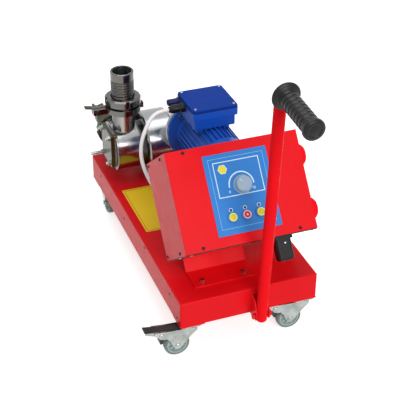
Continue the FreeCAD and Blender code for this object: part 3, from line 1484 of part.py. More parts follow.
def make_tail(label):
    """Hose tail with a collar that the nut holds, ridges and a smooth land at the end."""
    collar = D.thread_radius - D.safe_gap
    outline = [(D.port_bore, 0), (collar, 0), (collar, D.tail_collar), (D.tail_radius, D.tail_collar)]
    groove = D.tail_radius - D.tail_barb_depth
    for step in range(int(D.tail_barbs.value)):
        low = D.tail_barb_start + step * D.tail_barb_pitch
        high = low + D.tail_barb_pitch
        outline += [(groove, low), (groove, low + D.tail_barb_groove),
                    (D.tail_radius, high - D.tail_barb_land), (D.tail_radius, high)]
    bevel = D.tail_end_bevel
    outline += [(D.tail_radius, D.tail_length - bevel), (D.tail_radius - bevel, D.tail_length),
                (D.port_bore, D.tail_length)]
    return turned(label, outline)


def make_outlet():
    make_adapter()
    joint = D.outlet_top + D.adapter_low + D.adapter_thread
    nut_back = D.nut_length - D.nut_lip - D.tail_collar
    nut = make_nut("outlet_nut")
    place(nut, D.port_x, D.pump_y, joint - nut_back)
    tail = make_tail("outlet_hose_tail")
    place(tail, D.port_x, D.pump_y, joint)
    inlet_nut = make_nut("inlet_nut")
    place(inlet_nut, D.port_x, D.pump_y + D.inlet_reach - nut_back, D.pump_z, BACKWARD)
    inlet_tail = make_tail("inlet_hose_tail")
    place(inlet_tail, D.port_x, D.pump_y + D.inlet_reach, D.pump_z, BACKWARD)
    make_clamp()


def make_clamp():
    """Two clamp halves round the rims, hinged at the right, closed by a bolt at the left."""
    halves = []
    half_height = D.clamp_height / 2
    split = D.clamp_split / 2
    groove = D.ferrule_radius + D.safe_gap
    lip = D.port_radius + D.safe_gap
    ratio = D.ferrule_slope / (D.ferrule_radius - D.port_radius)
    seat_in = D.ferrule_rim + (D.ferrule_radius - lip) * ratio
    seat_out = D.ferrule_rim - D.safe_gap * ratio
    hinge_x = D.clamp_radius + D.hinge_out
    for name, side in (("near", -1), ("far", 1)):
        half = new_body("clamp_half_" + name, keep=False)
        turn(half, [(lip, -half_height), (D.clamp_radius, -half_height), (D.clamp_radius, half_height),
                    (lip, half_height), (lip, seat_in), (groove, seat_out), (groove, -seat_out),
                    (lip, -seat_in)])
        inner, outer = split, split + D.clamp_ear_thickness
        span = (inner, outer) if side > 0 else (-outer, -inner)
        reach = D.clamp_radius + D.clamp_ear_reach
        add(half, "XY", [rectangle(-reach, -D.clamp_radius + D.clamp_ear_root, span[0], span[1])],
            -half_height, half_height)
        away = 2 * D.clamp_radius
        gone = (-away, split) if side > 0 else (-split, away)
        cut(half, "XY", [rectangle(-away, away, gone[0], gone[1])], -away, away)
        cut(half, "XZ", [(-D.clamp_radius - D.clamp_bolt_out, 0, D.clamp_bolt_radius + D.safe_gap)],
            -away, away)
        root, clear, lug = D.clamp_radius - D.hinge_out, D.clamp_radius + D.hinge_play, D.hinge_lug
        outline = [(root, side * lug), (hinge_x + lug / 2, side * lug), (hinge_x + lug / 2, -side * lug),
                   (clear, -side * lug), (clear, side * split), (root, side * split)]
        level = (D.safe_gap / 2, half_height) if side > 0 else (-half_height, -D.safe_gap / 2)
        add(half, "XY", [outline], level[0], level[1])
        cut(half, "XY", [(hinge_x, 0, D.hinge_radius)], level[0], level[1])
        place(half, D.port_x, D.pump_y, D.outlet_top)
        halves.append(half)
    hinge = new_body("clamp_hinge", keep=False)
    add(hinge, "XY", [(hinge_x, 0, D.hinge_radius)], -half_height - D.hinge_play, half_height + D.hinge_play)
    place(hinge, D.port_x, D.pump_y, D.outlet_top)
    group("outlet_clamp", halves + [hinge])

    ear = split + D.clamp_ear_thickness
    x = D.port_x - D.clamp_radius - D.clamp_bolt_out
    far = ear + D.wing_hub_length + D.clamp_bolt_end
    near = ear + D.clamp_bolt_head
    head = D.clamp_bolt_radius + D.clamp_bolt_flange
    bolt = turned("clamp_bolt", [
        (0, -near), (head, -near), (head, -ear),
        (D.clamp_bolt_radius, -ear), (D.clamp_bolt_radius, far), (0, far)])
    place(bolt, x, D.pump_y, D.outlet_top, BACKWARD)

    low = ear + D.safe_gap
    high = low + D.wing_hub_length
    bore = D.clamp_bolt_radius + D.running_gap
    wing = turned("clamp_wing_nut", [
        (bore, low), (D.wing_hub_radius, low), (D.wing_hub_radius - D.wing_taper, high), (bore, high)])
    half_wing = D.wing_thickness / 2
    for side in (-1, 1):
        root, span = side * (D.wing_hub_radius - D.wing_root), side * D.wing_span
        outline = [(root, low + D.wing_taper), (span, low + D.wing_taper + D.wing_rise),
                   (span, high + D.wing_rise), (root, high)]
        add(wing, "XZ", [outline], -half_wing, half_wing)
    place(wing, x, D.pump_y, D.outlet_top, BACKWARD)


# motor cable: its route from the gland's mouth, then the rest of it from the mouth of the box's entry
ROUTE_FROM_GLAND = [(0, 0, 0), (-30, 0, 0), (-56.9, -7.9, -10.7), (-81.3, -24.4, -37.5),
                    (-101.8, -41.5, -74), (-108.4, -63, -117.2)]
ROUTE_FROM_ENTRY = [(-29.1, 128.9, 1.7), (-12.3, 87.3, -29.5), (0, 39.5, -30.7), (0, 0, 0)]


def make_cord():
    """A tube of straight runs joined by tangent arcs, from the gland to the box's entry."""
    gland, entry = cord_ends()
    points = [gland + FreeCAD.Vector(*step) for step in ROUTE_FROM_GLAND]
    points += [entry + FreeCAD.Vector(*step) for step in ROUTE_FROM_ENTRY]
    edges = []
    here = points[0]
    radii = []
    for before, corner, after in zip(points, points[1:], points[2:]):
        inward = (corner - before).normalize()
        outward = (after - corner).normalize()
        half_turn = inward.getAngle(outward) / 2
        shorter = min((corner - before).Length, (after - corner).Length)
        reach = 0.45 * shorter
        radii.append(reach / math.tan(half_turn))
        start, end = corner - inward * reach, corner + outward * reach
        towards = (outward - inward).normalize()
        middle = corner + towards * (radii[-1] / math.cos(half_turn) - radii[-1])
        edges.append(Part.LineSegment(here, start).toShape())
        edges.append(Part.Arc(start, middle, end).toShape())
        here = end
    edges.append(Part.LineSegment(here, points[-1]).toShape())
    spine = Part.Wire(edges)
    section = Part.Wire([Part.Circle(points[0], points[1] - points[0], D.cord_radius.value).toShape()])
    tube = spine.makePipeShell([section], True, False)
    expected = math.pi * D.cord_radius.value ** 2 * spine.Length
    print("cord radii", [round(radius, 1) for radius in radii])
    print("cord length %.1f, volume over section times length %.4f"
          % (spine.Length, tube.Volume / expected))
    cord = DOC.addObject("Part::Feature", "motor_cable")
    cord.Label = "motor_cable"
    cord.Shape = tube
    PARTS.append(cord)
    place(cord, 0, 0, 0)


def cord_ends():
    """The mouths of the motor's gland and of the box's cable entry."""
    gland = FreeCAD.Vector((D.gear_middle - D.lid_width / 2 - D.gland_length).value,
                           (D.flange_y - D.gland_start).value,
                           (D.motor_z + D.boss_top + D.gland_rise).value)
    back = D.box_depth + D.entry_length
    y = D.box_front + back * cosine(D.box_tilt) + D.entry_up * sine(D.box_tilt)
    z = D.box_bottom - back * sine(D.box_tilt) + D.entry_up * cosine(D.box_tilt)
    return gland, FreeCAD.Vector((D.box_left + D.entry_x).value, y.value, z.value)


def check_objects():
    """Stop if anything failed to build."""
    failed = [item.Label for item in DOC.Objects if "Invalid" in item.State or "Error" in item.State]
    failed += [item.Label for item in PARTS
               if item.Shape.isNull() or not item.Shape.isValid() or not item.Shape.Solids]
    if failed:
        raise RuntimeError("failed: " + ", ".join(failed))
    idle = [item.Label for item in DOC.Objects if is_idle(item)]
    if idle:
        raise RuntimeError("changed nothing, or the wrong way: " + ", ".join(idle))


def is_idle(feature):
    """True for a cut that removes nothing, or a pad that adds nothing."""
    sign = {"PartDesign::Pocket": -1, "PartDesign::Pad": 1}.get(feature.TypeId, 0)
    if sign == 0 or feature.BaseFeature is None:
        return False
    return (feature.Shape.Volume - feature.BaseFeature.Shape.Volume) * sign < 1e-3


def export_parts():
    os.makedirs("parts", exist_ok=True)
    for item in PARTS:
        item.Shape.exportStep(os.path.join("parts", item.Label + ".step"))
    print("parts", len(PARTS))


make_deck()
make_casters()
make_drawbar()
frame_bolts = make_stand()
make_box()
frame_bolts += make_gearbox()
group("frame_bolts", frame_bolts)
make_gears()
make_motor()
make_drum()
make_pump_body()
make_rotor()
make_outlet()
make_cord()
DOC.recompute()
check_objects()
export_parts()
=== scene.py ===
"""Looks of the honey pump: finishes, panel print, small fasteners, tyres, grip, cable, light and camera.

Lengths inside the local frames below are in millimetres; each frame's matrix turns them into metres.
"""
import json
import math
import bmesh
import bpy
from mathutils import Matrix, Vector


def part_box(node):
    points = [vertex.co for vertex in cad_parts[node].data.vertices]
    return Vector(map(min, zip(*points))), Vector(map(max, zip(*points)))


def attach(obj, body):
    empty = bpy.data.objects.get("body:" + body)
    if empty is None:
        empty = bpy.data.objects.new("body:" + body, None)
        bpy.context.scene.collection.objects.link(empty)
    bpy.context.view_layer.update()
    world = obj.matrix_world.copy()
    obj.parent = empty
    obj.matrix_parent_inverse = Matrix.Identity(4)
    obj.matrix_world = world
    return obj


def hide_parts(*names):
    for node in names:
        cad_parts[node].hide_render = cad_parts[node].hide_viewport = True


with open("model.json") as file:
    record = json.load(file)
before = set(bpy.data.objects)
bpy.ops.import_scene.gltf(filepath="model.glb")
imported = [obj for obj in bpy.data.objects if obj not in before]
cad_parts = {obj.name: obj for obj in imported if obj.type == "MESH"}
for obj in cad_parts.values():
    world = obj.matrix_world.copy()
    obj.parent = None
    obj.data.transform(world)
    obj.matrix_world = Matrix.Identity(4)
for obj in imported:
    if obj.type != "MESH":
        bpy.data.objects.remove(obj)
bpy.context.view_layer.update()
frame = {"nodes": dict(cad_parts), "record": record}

NODES = frame["nodes"]
RECORD = frame["record"]
MM = 0.001
X, Y, Z = Vector((1, 0, 0)), Vector((0, 1, 0)), Vector((0, 0, 1))

# the deck's lower left front corner, above the caster pads
PAD = 3
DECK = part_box("deck")[0] + Vector((0, 0, PAD * MM))
DECK_TOP = 81
# upward and outward directions of the control box's sloping face
TILT = math.radians(37.8)
FACE_UP = Vector((0, math.sin(TILT), math.cos(TILT)))
FACE_OUT = Vector((0, -math.cos(TILT), math.sin(TILT)))


def deck_point(x, y, z):
    """A place in the deck's frame, in the row frame."""
    return DECK + Vector((x, y, z)) * MM


def local(origin, across, up):
    """Matrix of a local frame: its X runs across, its Y up, its Z out of the surface."""
    across, up = Vector(across), Vector(up)
    out = across.cross(up)
    turn = Matrix((across, up, out)).transposed().to_4x4()
    return Matrix.Translation(origin) @ turn @ Matrix.Scale(MM, 4)


# control box: its lower left front corner, its size and a frame on each face
BOX_CORNER = deck_point(20.5, 10, 232)
BOX_WIDTH, BOX_DEPTH = 385, 193.6
PANEL = local(BOX_CORNER, X, FACE_UP)
LEFT_WALL = local(BOX_CORNER, FACE_OUT, FACE_UP)
RIGHT_WALL = local(BOX_CORNER + X * BOX_WIDTH * MM, -FACE_OUT, FACE_UP)
UNDERSIDE = local(BOX_CORNER, X, FACE_OUT)
SCREW_LOW, SCREW_HIGH = 9.5, 269
CAP_X, CAPS_UP = 40, (209, 57)
# the panel's film thickness, its buttons with the lamps over them, and the speed knob
FILM = 0.8
BUTTONS_X = {"left": 149.3, "stop": 190, "right": 230.7}
BUTTON_UP, LAMP_UP = 74.5, 94.5
KNOB_X, KNOB_UP = 197, 157
# casters: places of the swivels, and the top of the forks
CASTERS_X = {"left": 34, "right": 376}
CASTERS_Y = {"front": 30, "rear": 830}
FORK_TOP = -3
# the outlet's axis, and the shaft's height over the deck's lower face
PORT_X, PORT_Y, SHAFT_Z = 66, 700, 190.5
# motor: its axis, its flange and the terminal lid's top
MOTOR_X, MOTOR_Z, FLANGE_Y, LID_TOP = 270, 270.5, 588, 415


# shells: each is (loops, closed), where a loop is a list of local points
def ellipse(x, y, wide, high, count, start=0.0):
    """Points of an upright ellipse by its half width and half height, from a start angle."""
    return [(x + wide * math.cos(a), y + high * math.sin(a))
            for a in [2 * math.pi * k / count + start for k in range(count)]]


def circle(radius, z, count=48):
    """A loop at one height."""
    return [(radius * math.cos(2 * math.pi * k / count), radius * math.sin(2 * math.pi * k / count), z)
            for k in range(count)]


def lathe(profile, count=48, closed=False):
    """Turn (radius, height) points about the local Z axis."""
    return [circle(radius, z, count) for radius, z in profile], closed


def hexagon(radius, z):
    """A hexagon by its corner radius, with points spread evenly round it."""
    loop, count = [], 24
    for k in range(count):
        angle = 2 * math.pi * k / count
        across = math.cos(math.pi / 6) / math.cos((angle % (math.pi / 3)) - math.pi / 6)
        loop.append((radius * across * math.cos(angle), radius * across * math.sin(angle), z))
    return loop


def prism(outline, low, high, bevel=0.0):
    """An outline of (x, y) points raised from low to high, with its upper rim drawn in by the bevel."""
    middle_x = sum(x for x, _ in outline) / len(outline)
    middle_y = sum(y for _, y in outline) / len(outline)
    reach = max(math.hypot(x - middle_x, y - middle_y) for x, y in outline)
    share = 1 - bevel / reach
    loops = [[(x, y, low) for x, y in outline], [(x, y, high - bevel) for x, y in outline]]
    if bevel:
        loops.append([(middle_x + (x - middle_x) * share, middle_y + (y - middle_y) * share, high)
                      for x, y in outline])
    return loops, False


def rounded(x_low, x_high, y_low, y_high, corner, steps=5):
    """Outline of a rectangle with round corners."""
    centres = ((x_high - corner, y_high - corner, 0), (x_low + corner, y_high - corner, 90),
               (x_low + corner, y_low + corner, 180), (x_high - corner, y_low + corner, 270))
    outline = []
    for x, y, start in centres:
        for step in range(steps + 1):
            angle = math.radians(start + 90 * step / steps)
            outline.append((x + corner * math.cos(angle), y + corner * math.sin(angle)))
    return outline


def stroke(points, width, low, high, closed=False):
    """A flat line of some width drawn along (x, y) points."""
    loops = []
    count = len(points)
    for k, (x, y) in enumerate(points):
        before = Vector(points[k - 1] if k or closed else points[k])
        after = Vector(points[(k + 1) % count] if k < count - 1 or closed else points[k])
        here = Vector((x, y))
        inward, outward = (here - before), (after - here)
        inward = inward.normalized() if inward.length else outward.normalized()
        outward = outward.normalized() if outward.length else inward
        along = (inward + outward).normalized()
        # a corner is drawn out to its point, but not past this limit
        sharpest = 0.4
        side = Vector((-along.y, along.x)) * (width / 2 / max(sharpest, along.dot(outward)))
        near, far = here + side, here - side
        loops.append([(near.x, near.y, low), (near.x, near.y, high), (far.x, far.y, high),
                      (far.x, far.y, low)])
    return loops, closed


def arc(x, y, radius, start, end, steps=40):
    """Points of an arc, its angles in degrees from the local X axis."""
    return [(x + radius * math.cos(math.radians(start + (end - start) * k / steps)),
             y + radius * math.sin(math.radians(start + (end - start) * k / steps)))
            for k in range(steps + 1)]


def shifted(shell, x, y, z=0.0):
    """The same shell at another place."""
    loops, closed = shell
    return [[(px + x, py + y, pz + z) for px, py, pz in loop] for loop in loops], closed


def build(name, shells, where, finish, body="chassis", smooth=35):
    """Make one piece of several shells, give it its finish and let it ride a body."""
    mesh = bpy.data.meshes.new(name)
    points, faces = [], []
    for loops, closed in shells:
        first, count = len(points), len(loops[0])
        points += [where @ Vector(point) for loop in loops for point in loop]
        rows = len(loops)
        for row in range(rows if closed else rows - 1):
            here, there = first + row * count, first + (row + 1) % rows * count
            for k in range(count):
                after = (k + 1) % count
                faces.append((here + k, here + after, there + after, there + k))
        if not closed:
            faces.append(tuple(range(first, first + count)))
            faces.append(tuple(range(first + (rows - 1) * count, first + rows * count)))
    mesh.from_pydata(points, [], faces)
    work = bmesh.new()
    work.from_mesh(mesh)
    bmesh.ops.recalc_face_normals(work, faces=work.faces)
    work.to_mesh(mesh)
    work.free()
    mesh.polygons.foreach_set("use_smooth", [True] * len(mesh.polygons))
    mesh.set_sharp_from_angle(angle=math.radians(smooth))
    piece = bpy.data.objects.new(name, mesh)
    bpy.context.scene.collection.objects.link(piece)
    piece.data.materials.append(FINISHES[finish])
    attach(piece, body)
    return piece


# finishes
def linear(red, green, blue):
    """A colour written as it shows on screen, as the linear colour that Blender wants."""
    def one(value):
        value /= 255
        return value / 12.92 if value <= 0.04045 else ((value + 0.055) / 1.055) ** 2.4
    return one(red), one(green), one(blue), 1.0


def grey(shade):
    """A grey by how bright it shows on screen, from 0 to 255."""
    return linear(shade, shade, shade)


def new_material(name):
    """A material with its node tree and its shader."""
    material = bpy.data.materials.new(name)
    material.use_nodes = True
    tree = material.node_tree
    return material, tree, tree.nodes["Principled BSDF"]


def noise(tree, scale, stretch=(1, 1, 1), detail=3.0):
    """Noise in the piece's own coordinates, drawn out along an axis by a small stretch number."""
    place = tree.nodes.new("ShaderNodeTexCoord")
    mapping = tree.nodes.new("ShaderNodeMapping")
    mapping.inputs["Scale"].default_value = stretch
    texture = tree.nodes.new("ShaderNodeTexNoise")
    texture.inputs["Scale"].default_value = scale
    texture.inputs["Detail"].default_value = detail
    texture.inputs["Roughness"].default_value = 0.55
    tree.links.new(place.outputs["Object"], mapping.inputs["Vector"])
    tree.links.new(mapping.outputs["Vector"], texture.inputs["Vector"])
    return texture.outputs["Fac"]


def paint_reflections_and_shade(tree, axis, centre, stops):
    """Painted reflections: bright and dark bands by the angle round an axis, standing in for what polished
    metal mirrors, and painted shade on the faces across the axis.
    """
    place = tree.nodes.new("ShaderNodeTexCoord")
    parts = tree.nodes.new("ShaderNodeSeparateXYZ")
    tree.links.new(place.outputs["Object"], parts.inputs["Vector"])
    angle = tree.nodes.new("ShaderNodeMath")
    angle.operation = "ARCTAN2"
    first, second = ("Y", "X") if axis == "Z" else ("Z", "Y")
    for slot, name, middle in ((0, first, centre[1]), (1, second, centre[0])):
        offset = tree.nodes.new("ShaderNodeMath")
        offset.operation = "SUBTRACT"
        offset.inputs[1].default_value = middle
        tree.links.new(parts.outputs[name], offset.inputs[0])
        tree.links.new(offset.outputs["Value"], angle.inputs[slot])
    turn = tree.nodes.new("ShaderNodeMapRange")
    turn.inputs["From Min"].default_value = -math.pi
    turn.inputs["From Max"].default_value = math.pi
    tree.links.new(angle.outputs["Value"], turn.inputs["Value"])
    ramp = tree.nodes.new("ShaderNodeValToRGB")
    marks = ramp.color_ramp.elements
    for number, (degrees, shade) in enumerate(stops):
        mark = marks[number] if number < 2 else marks.new(0)
        mark.position = degrees / 360 + 0.5
        mark.color = grey(shade)
    tree.links.new(turn.outputs["Result"], ramp.inputs["Fac"])
    # painted shade: faces across the axis are pulled towards a mid grey
    facing = tree.nodes.new("ShaderNodeSeparateXYZ")
    tree.links.new(place.outputs["Normal"], facing.inputs["Vector"])
    squared = tree.nodes.new("ShaderNodeMath")
    squared.operation = "MULTIPLY"
    tree.links.new(facing.outputs[axis], squared.inputs[0])
    tree.links.new(facing.outputs[axis], squared.inputs[1])
    painted_end_shade = tree.nodes.new("ShaderNodeMix")
    painted_end_shade.data_type = "RGBA"
    painted_end_shade.inputs["B"].default_value = grey(110)
    tree.links.new(squared.outputs["Value"], painted_end_shade.inputs["Factor"])
    tree.links.new(ramp.outputs["Color"], painted_end_shade.inputs["A"])
    return painted_end_shade.outputs["Result"]


def spread(tree, value, low, high):
    """Map the middle of the noise to a range."""
    node = tree.nodes.new("ShaderNodeMapRange")
    node.inputs["From Min"].default_value = 0.3
    node.inputs["From Max"].default_value = 0.7
    node.inputs["To Min"].default_value = low
    node.inputs["To Max"].default_value = high
    tree.links.new(value, node.inputs["Value"])
    return node.outputs["Result"]


def finish_of(name, colour, roughness, metallic=0.0, specular=0.4, mottle=0.08, patch=9.0, grain=420.0,
              relief=0.05, stretch=(1, 1, 1), edge=0.6, painted_light=None):
    """A finish with slow changes of tone, changing gloss, fine relief and softened edges, and for some,
    bands round an axis multiplied into its colour as painted reflections and painted shade.
    """
    material, tree, shader = new_material(name)
    base = linear(*colour)
    tone = tree.nodes.new("ShaderNodeMix")
    tone.data_type = "RGBA"
    tone.inputs["A"].default_value = tuple(part * (1 - mottle) for part in base[:3]) + (1,)
    tone.inputs["B"].default_value = tuple(min(1, part * (1 + mottle)) for part in base[:3]) + (1,)
    tree.links.new(spread(tree, noise(tree, patch), 0, 1), tone.inputs["Factor"])
    colour_out = tone.outputs["Result"]
    # painted reflections and shade: grey bands round an axis multiplied into the colour
    if painted_light:
        mixed = tree.nodes.new("ShaderNodeMix")
        mixed.data_type = "RGBA"
        mixed.blend_type = "MULTIPLY"
        mixed.inputs["Factor"].default_value = 1.0
        tree.links.new(colour_out, mixed.inputs["A"])
        tree.links.new(paint_reflections_and_shade(tree, *painted_light), mixed.inputs["B"])
        colour_out = mixed.outputs["Result"]
    tree.links.new(colour_out, shader.inputs["Base Color"])
    uneven = 0.05
    gloss = spread(tree, noise(tree, patch * 4, stretch), roughness - uneven, roughness + uneven)
    tree.links.new(gloss, shader.inputs["Roughness"])
    shader.inputs["Metallic"].default_value = metallic
    shader.inputs["Specular IOR Level"].default_value = specular
    soft = tree.nodes.new("ShaderNodeBevel")
    soft.samples = 4
    soft.inputs["Radius"].default_value = edge * MM
    bump = tree.nodes.new("ShaderNodeBump")
    bump.inputs["Strength"].default_value = relief
    bump.inputs["Distance"].default_value = 0.4 * MM
    tree.links.new(noise(tree, grain, stretch, detail=2.0), bump.inputs["Height"])
    tree.links.new(soft.outputs["Normal"], bump.inputs["Normal"])
    tree.links.new(bump.outputs["Normal"], shader.inputs["Normal"])
    return material


RINGS_ALONG_X, RINGS_ALONG_Z = (1, 0.02, 0.02), (0.02, 0.02, 1)
PORT = deck_point(PORT_X, PORT_Y, 0)
SHAFT = deck_point(0, PORT_Y, SHAFT_Z)
# painted reflections and shade as bands round an upright and a crosswise axis: the axis, its place and its
# (degrees, grey) stops
UPRIGHT_PAINTED_LIGHT = ("Z", (PORT.x, PORT.y), (
    (-180, 110), (-168, 62), (-160, 150), (-122, 170), (-119, 255), (-109, 255), (-106, 44), (-71, 44),
    (-67, 190), (-55, 170), (-50, 62), (-20, 84), (0, 150), (24, 214), (36, 84), (70, 62), (90, 190),
    (108, 214), (124, 62), (160, 62), (180, 110)))
CROSSWISE_PAINTED_LIGHT = ("X", (SHAFT.y, SHAFT.z), (
    (-180, 190), (-90, 110), (0, 140), (50, 84), (82, 84), (92, 150), (104, 190), (114, 255), (140, 255),
    (152, 190), (180, 190)))
# name: colour on screen, roughness and what else differs from the usual finish
FINISH_ROWS = {
    "red_paint": ((232, 20, 30), 0.34, dict(specular=0.1, mottle=0.03, relief=0.03)),
    # a brighter copy of the red paint, as painted light on the drawbar's tube, the side caps and their
    # rings
    "red_paint_painted_light": ((252, 22, 32), 0.34, dict(specular=0.02, mottle=0.03, relief=0.03)),
    "blue_paint": ((22, 90, 204), 0.36, dict(specular=0.2, mottle=0.05, relief=0.06)),
    # a darker copy of the blue paint for the terminal lid, as painted shade on its top
    "lid_blue_painted_shade": ((12, 58, 154), 0.4, dict(specular=0.05, mottle=0.05, relief=0.06)),
    "fin_blue": ((34, 92, 190), 0.34, dict(specular=0.42, mottle=0.08, relief=0.08)),
    # steel, upright_steel and polished carry the bands of painted reflection and shade
    "steel": ((226, 224, 220), 0.24, dict(metallic=1.0, mottle=0.05, relief=0.06,
                                          stretch=RINGS_ALONG_X, painted_light=CROSSWISE_PAINTED_LIGHT)),
    "dark_steel": ((74, 74, 65), 0.3, dict(metallic=1.0, mottle=0.16, patch=22, relief=0.1)),
    "upright_steel": ((250, 246, 240), 0.16, dict(metallic=1.0, mottle=0.08, relief=0.06,
                                                  stretch=RINGS_ALONG_Z, painted_light=UPRIGHT_PAINTED_LIGHT)),
    "polished": ((222, 224, 226), 0.2, dict(metallic=1.0, mottle=0.04, relief=0.03,
                                            stretch=RINGS_ALONG_X, painted_light=CROSSWISE_PAINTED_LIGHT)),
    "zinc": ((164, 172, 168), 0.28, dict(metallic=1.0, mottle=0.24, patch=40, relief=0.06, edge=0.3)),
    "cast": ((206, 209, 212), 0.46, dict(metallic=0.85, mottle=0.06, grain=260, relief=0.2)),
    "black_rubber": ((22, 22, 23), 0.45, dict(specular=0.22, mottle=0.15, relief=0.1)),
    "pad_rubber": ((66, 66, 68), 0.5, dict(specular=0.1, mottle=0.12, relief=0.1)),
    "grey_rubber": ((20, 21, 23), 0.32, dict(specular=0.3, mottle=0.2, relief=0.05)),
    "white_rubber": ((240, 241, 241), 0.5, dict(specular=0.3, mottle=0.03, relief=0.06)),
    "black_plastic": ((19, 19, 22), 0.32, dict(specular=0.2, mottle=0.15, relief=0.06)),
    "blue_plastic": ((30, 34, 84), 0.4, dict(specular=0.2, mottle=0.1, relief=0.06)),
    "panel_film": ((56, 130, 208), 0.36, dict(specular=0.12, mottle=0.04, relief=0.03, edge=0.3)),
    "knob_grey": ((158, 182, 204), 0.34, dict(specular=0.3, mottle=0.06, relief=0.04)),
    "yellow": ((214, 198, 44), 0.3, dict(specular=0.25, mottle=0.05, relief=0.03, edge=0.4)),
    "red_plastic": ((196, 38, 66), 0.3, dict(specular=0.25, mottle=0.05, relief=0.03, edge=0.4)),
    "bronze": ((190, 134, 66), 0.34, dict(metallic=1.0, mottle=0.08, relief=0.08)),
    "white_print": ((214, 240, 252), 0.42, dict(specular=0.2, mottle=0.02, edge=0.05)),
    "pale_print": ((128, 196, 240), 0.42, dict(specular=0.2, mottle=0.02, edge=0.05)),
    "yellow_print": ((240, 222, 60), 0.4, dict(specular=0.2, mottle=0.03, edge=0.05)),
    # pale finishes for the button rims and the stop button's dot: painted highlights
    "painted_highlight_yellow": ((232, 240, 150), 0.34, dict(specular=0.25, mottle=0.03, edge=0.2)),
    "painted_highlight_pink": ((250, 206, 204), 0.34, dict(specular=0.25, mottle=0.03, edge=0.2)),
    "sticker": ((255, 212, 42), 0.4, dict(specular=0.2, mottle=0.04, relief=0.03, edge=0.1)),
    "dark_print": ((60, 44, 20), 0.4, dict(specular=0.2, mottle=0.08, edge=0.05)),
    "lens": ((30, 50, 84), 0.2, dict(specular=0.3, mottle=0.06, relief=0.02, edge=0.3)),
    "tread": ((118, 134, 132), 0.44, dict(specular=0.3, mottle=0.08, relief=0.08)),
    "nylon": ((164, 180, 176), 0.38, dict(specular=0.35, mottle=0.06, relief=0.05)),
}
FINISHES = {name: finish_of(name, colour, roughness, **more)
            for name, (colour, roughness, more) in FINISH_ROWS.items()}
# the record's slot of a finish that has another name
# nodes whose finish isn't the one named like their slot
OWN_FINISH = {"button_bodies": "panel_film", "indicator_lamps": "lens", "outlet_adapter": "upright_steel",
              "outlet_clamp": "upright_steel", "outlet_nut": "upright_steel",
              "outlet_hose_tail": "upright_steel", "pump_cover": "dark_steel",
              "clamp_wing_nut": "dark_steel", "clamp_bolt": "dark_steel", "inlet_nut": "dark_steel",
              "inlet_hose_tail": "dark_steel", "brake_pedal_front_left": "pad_rubber",
              "brake_pedal_front_right": "pad_rubber", "side_caps": "red_paint_painted_light",
              "drawbar_bolt": "red_paint", "drawbar": "red_paint_painted_light", "terminal_lid": "lid_blue_painted_shade",
              "motor_housing": "fin_blue", "motor_flange": "fin_blue", "fan_cowl": "fin_blue"}


def dress_nodes():
    """Give every CAD node the finish of its material slot, or one of its own."""
    slots = {entry["node"]: entry["material_slot"] for entry in RECORD["subparts"]}
    for name, node in NODES.items():
        node.data.materials.clear()
        node.data.materials.append(FINISHES[OWN_FINISH.get(name, slots[name])])
        node.data.polygons.foreach_set("use_smooth", [True] * len(node.data.polygons))


# small fasteners
def socket_screw(radius, height):
    """A round head with a hexagon socket."""
    dome = [circle(radius, 0, 24), circle(radius, height * 0.45, 24),
            circle(radius * 0.86, height * 0.86, 24), circle(radius * 0.62, height, 24)]
    socket = [hexagon(radius * 0.42, height), hexagon(radius * 0.4, height * 0.35)]
    return dome + socket, False


def hex_head(radius, height, washer):
    """A hexagon head with a domed top, on a washer."""
    base = [circle(radius * 1.28, 0, 24), circle(radius * 1.28, washer, 24)]
    head = [hexagon(radius, washer), hexagon(radius, washer + height * 0.82),
            circle(radius * 0.86, washer + height, 24)]
    return base + head, False


def fasten(name, shell, places, where, finish="zinc"):
    """Repeat a fastener at (x, y) places of a local frame."""
    build(name, [shifted(shell, x, y) for x, y in places], where, finish)


def make_box_screws():
    """Dark screws in the face and the walls, bright ones, and a dark rubber strip under the box as painted
    shade along the cover's lower edge.
    """
    head = socket_screw(4.6, 2.6)
    heights, face_x = (SCREW_LOW, SCREW_HIGH), (51, 334)
    fasten("box_face_screws", head, [(x, up) for x in face_x for up in heights], PANEL, "black_plastic")
    # the left wall's X runs forwards, the right wall's backwards
    left_x, right_front, right_rear = (-54, -180), 40, 182
    fasten("left_wall_screws", head, [(x, up) for x in left_x for up in heights], LEFT_WALL,
           "black_plastic")
    fasten("right_wall_screws", head,
           [(right_front, SCREW_LOW), (right_rear, SCREW_LOW), (right_rear, SCREW_HIGH)], RIGHT_WALL,
           "black_plastic")
    fasten("underside_screws", socket_screw(4.6, 4.2), [(11, -99), (18, -10), (182, -10), (370, -10)],
           UNDERSIDE, "zinc")
    # painted shade: a dark strip along the underside's front and left edges
    inset = 2.6
    shade_strip = [(382, -inset), (inset, -inset), (inset, -186)]
    build("painted_shade_strip", [stroke(shade_strip, 2.8, -0.2, 2.6)], UNDERSIDE, "black_rubber")


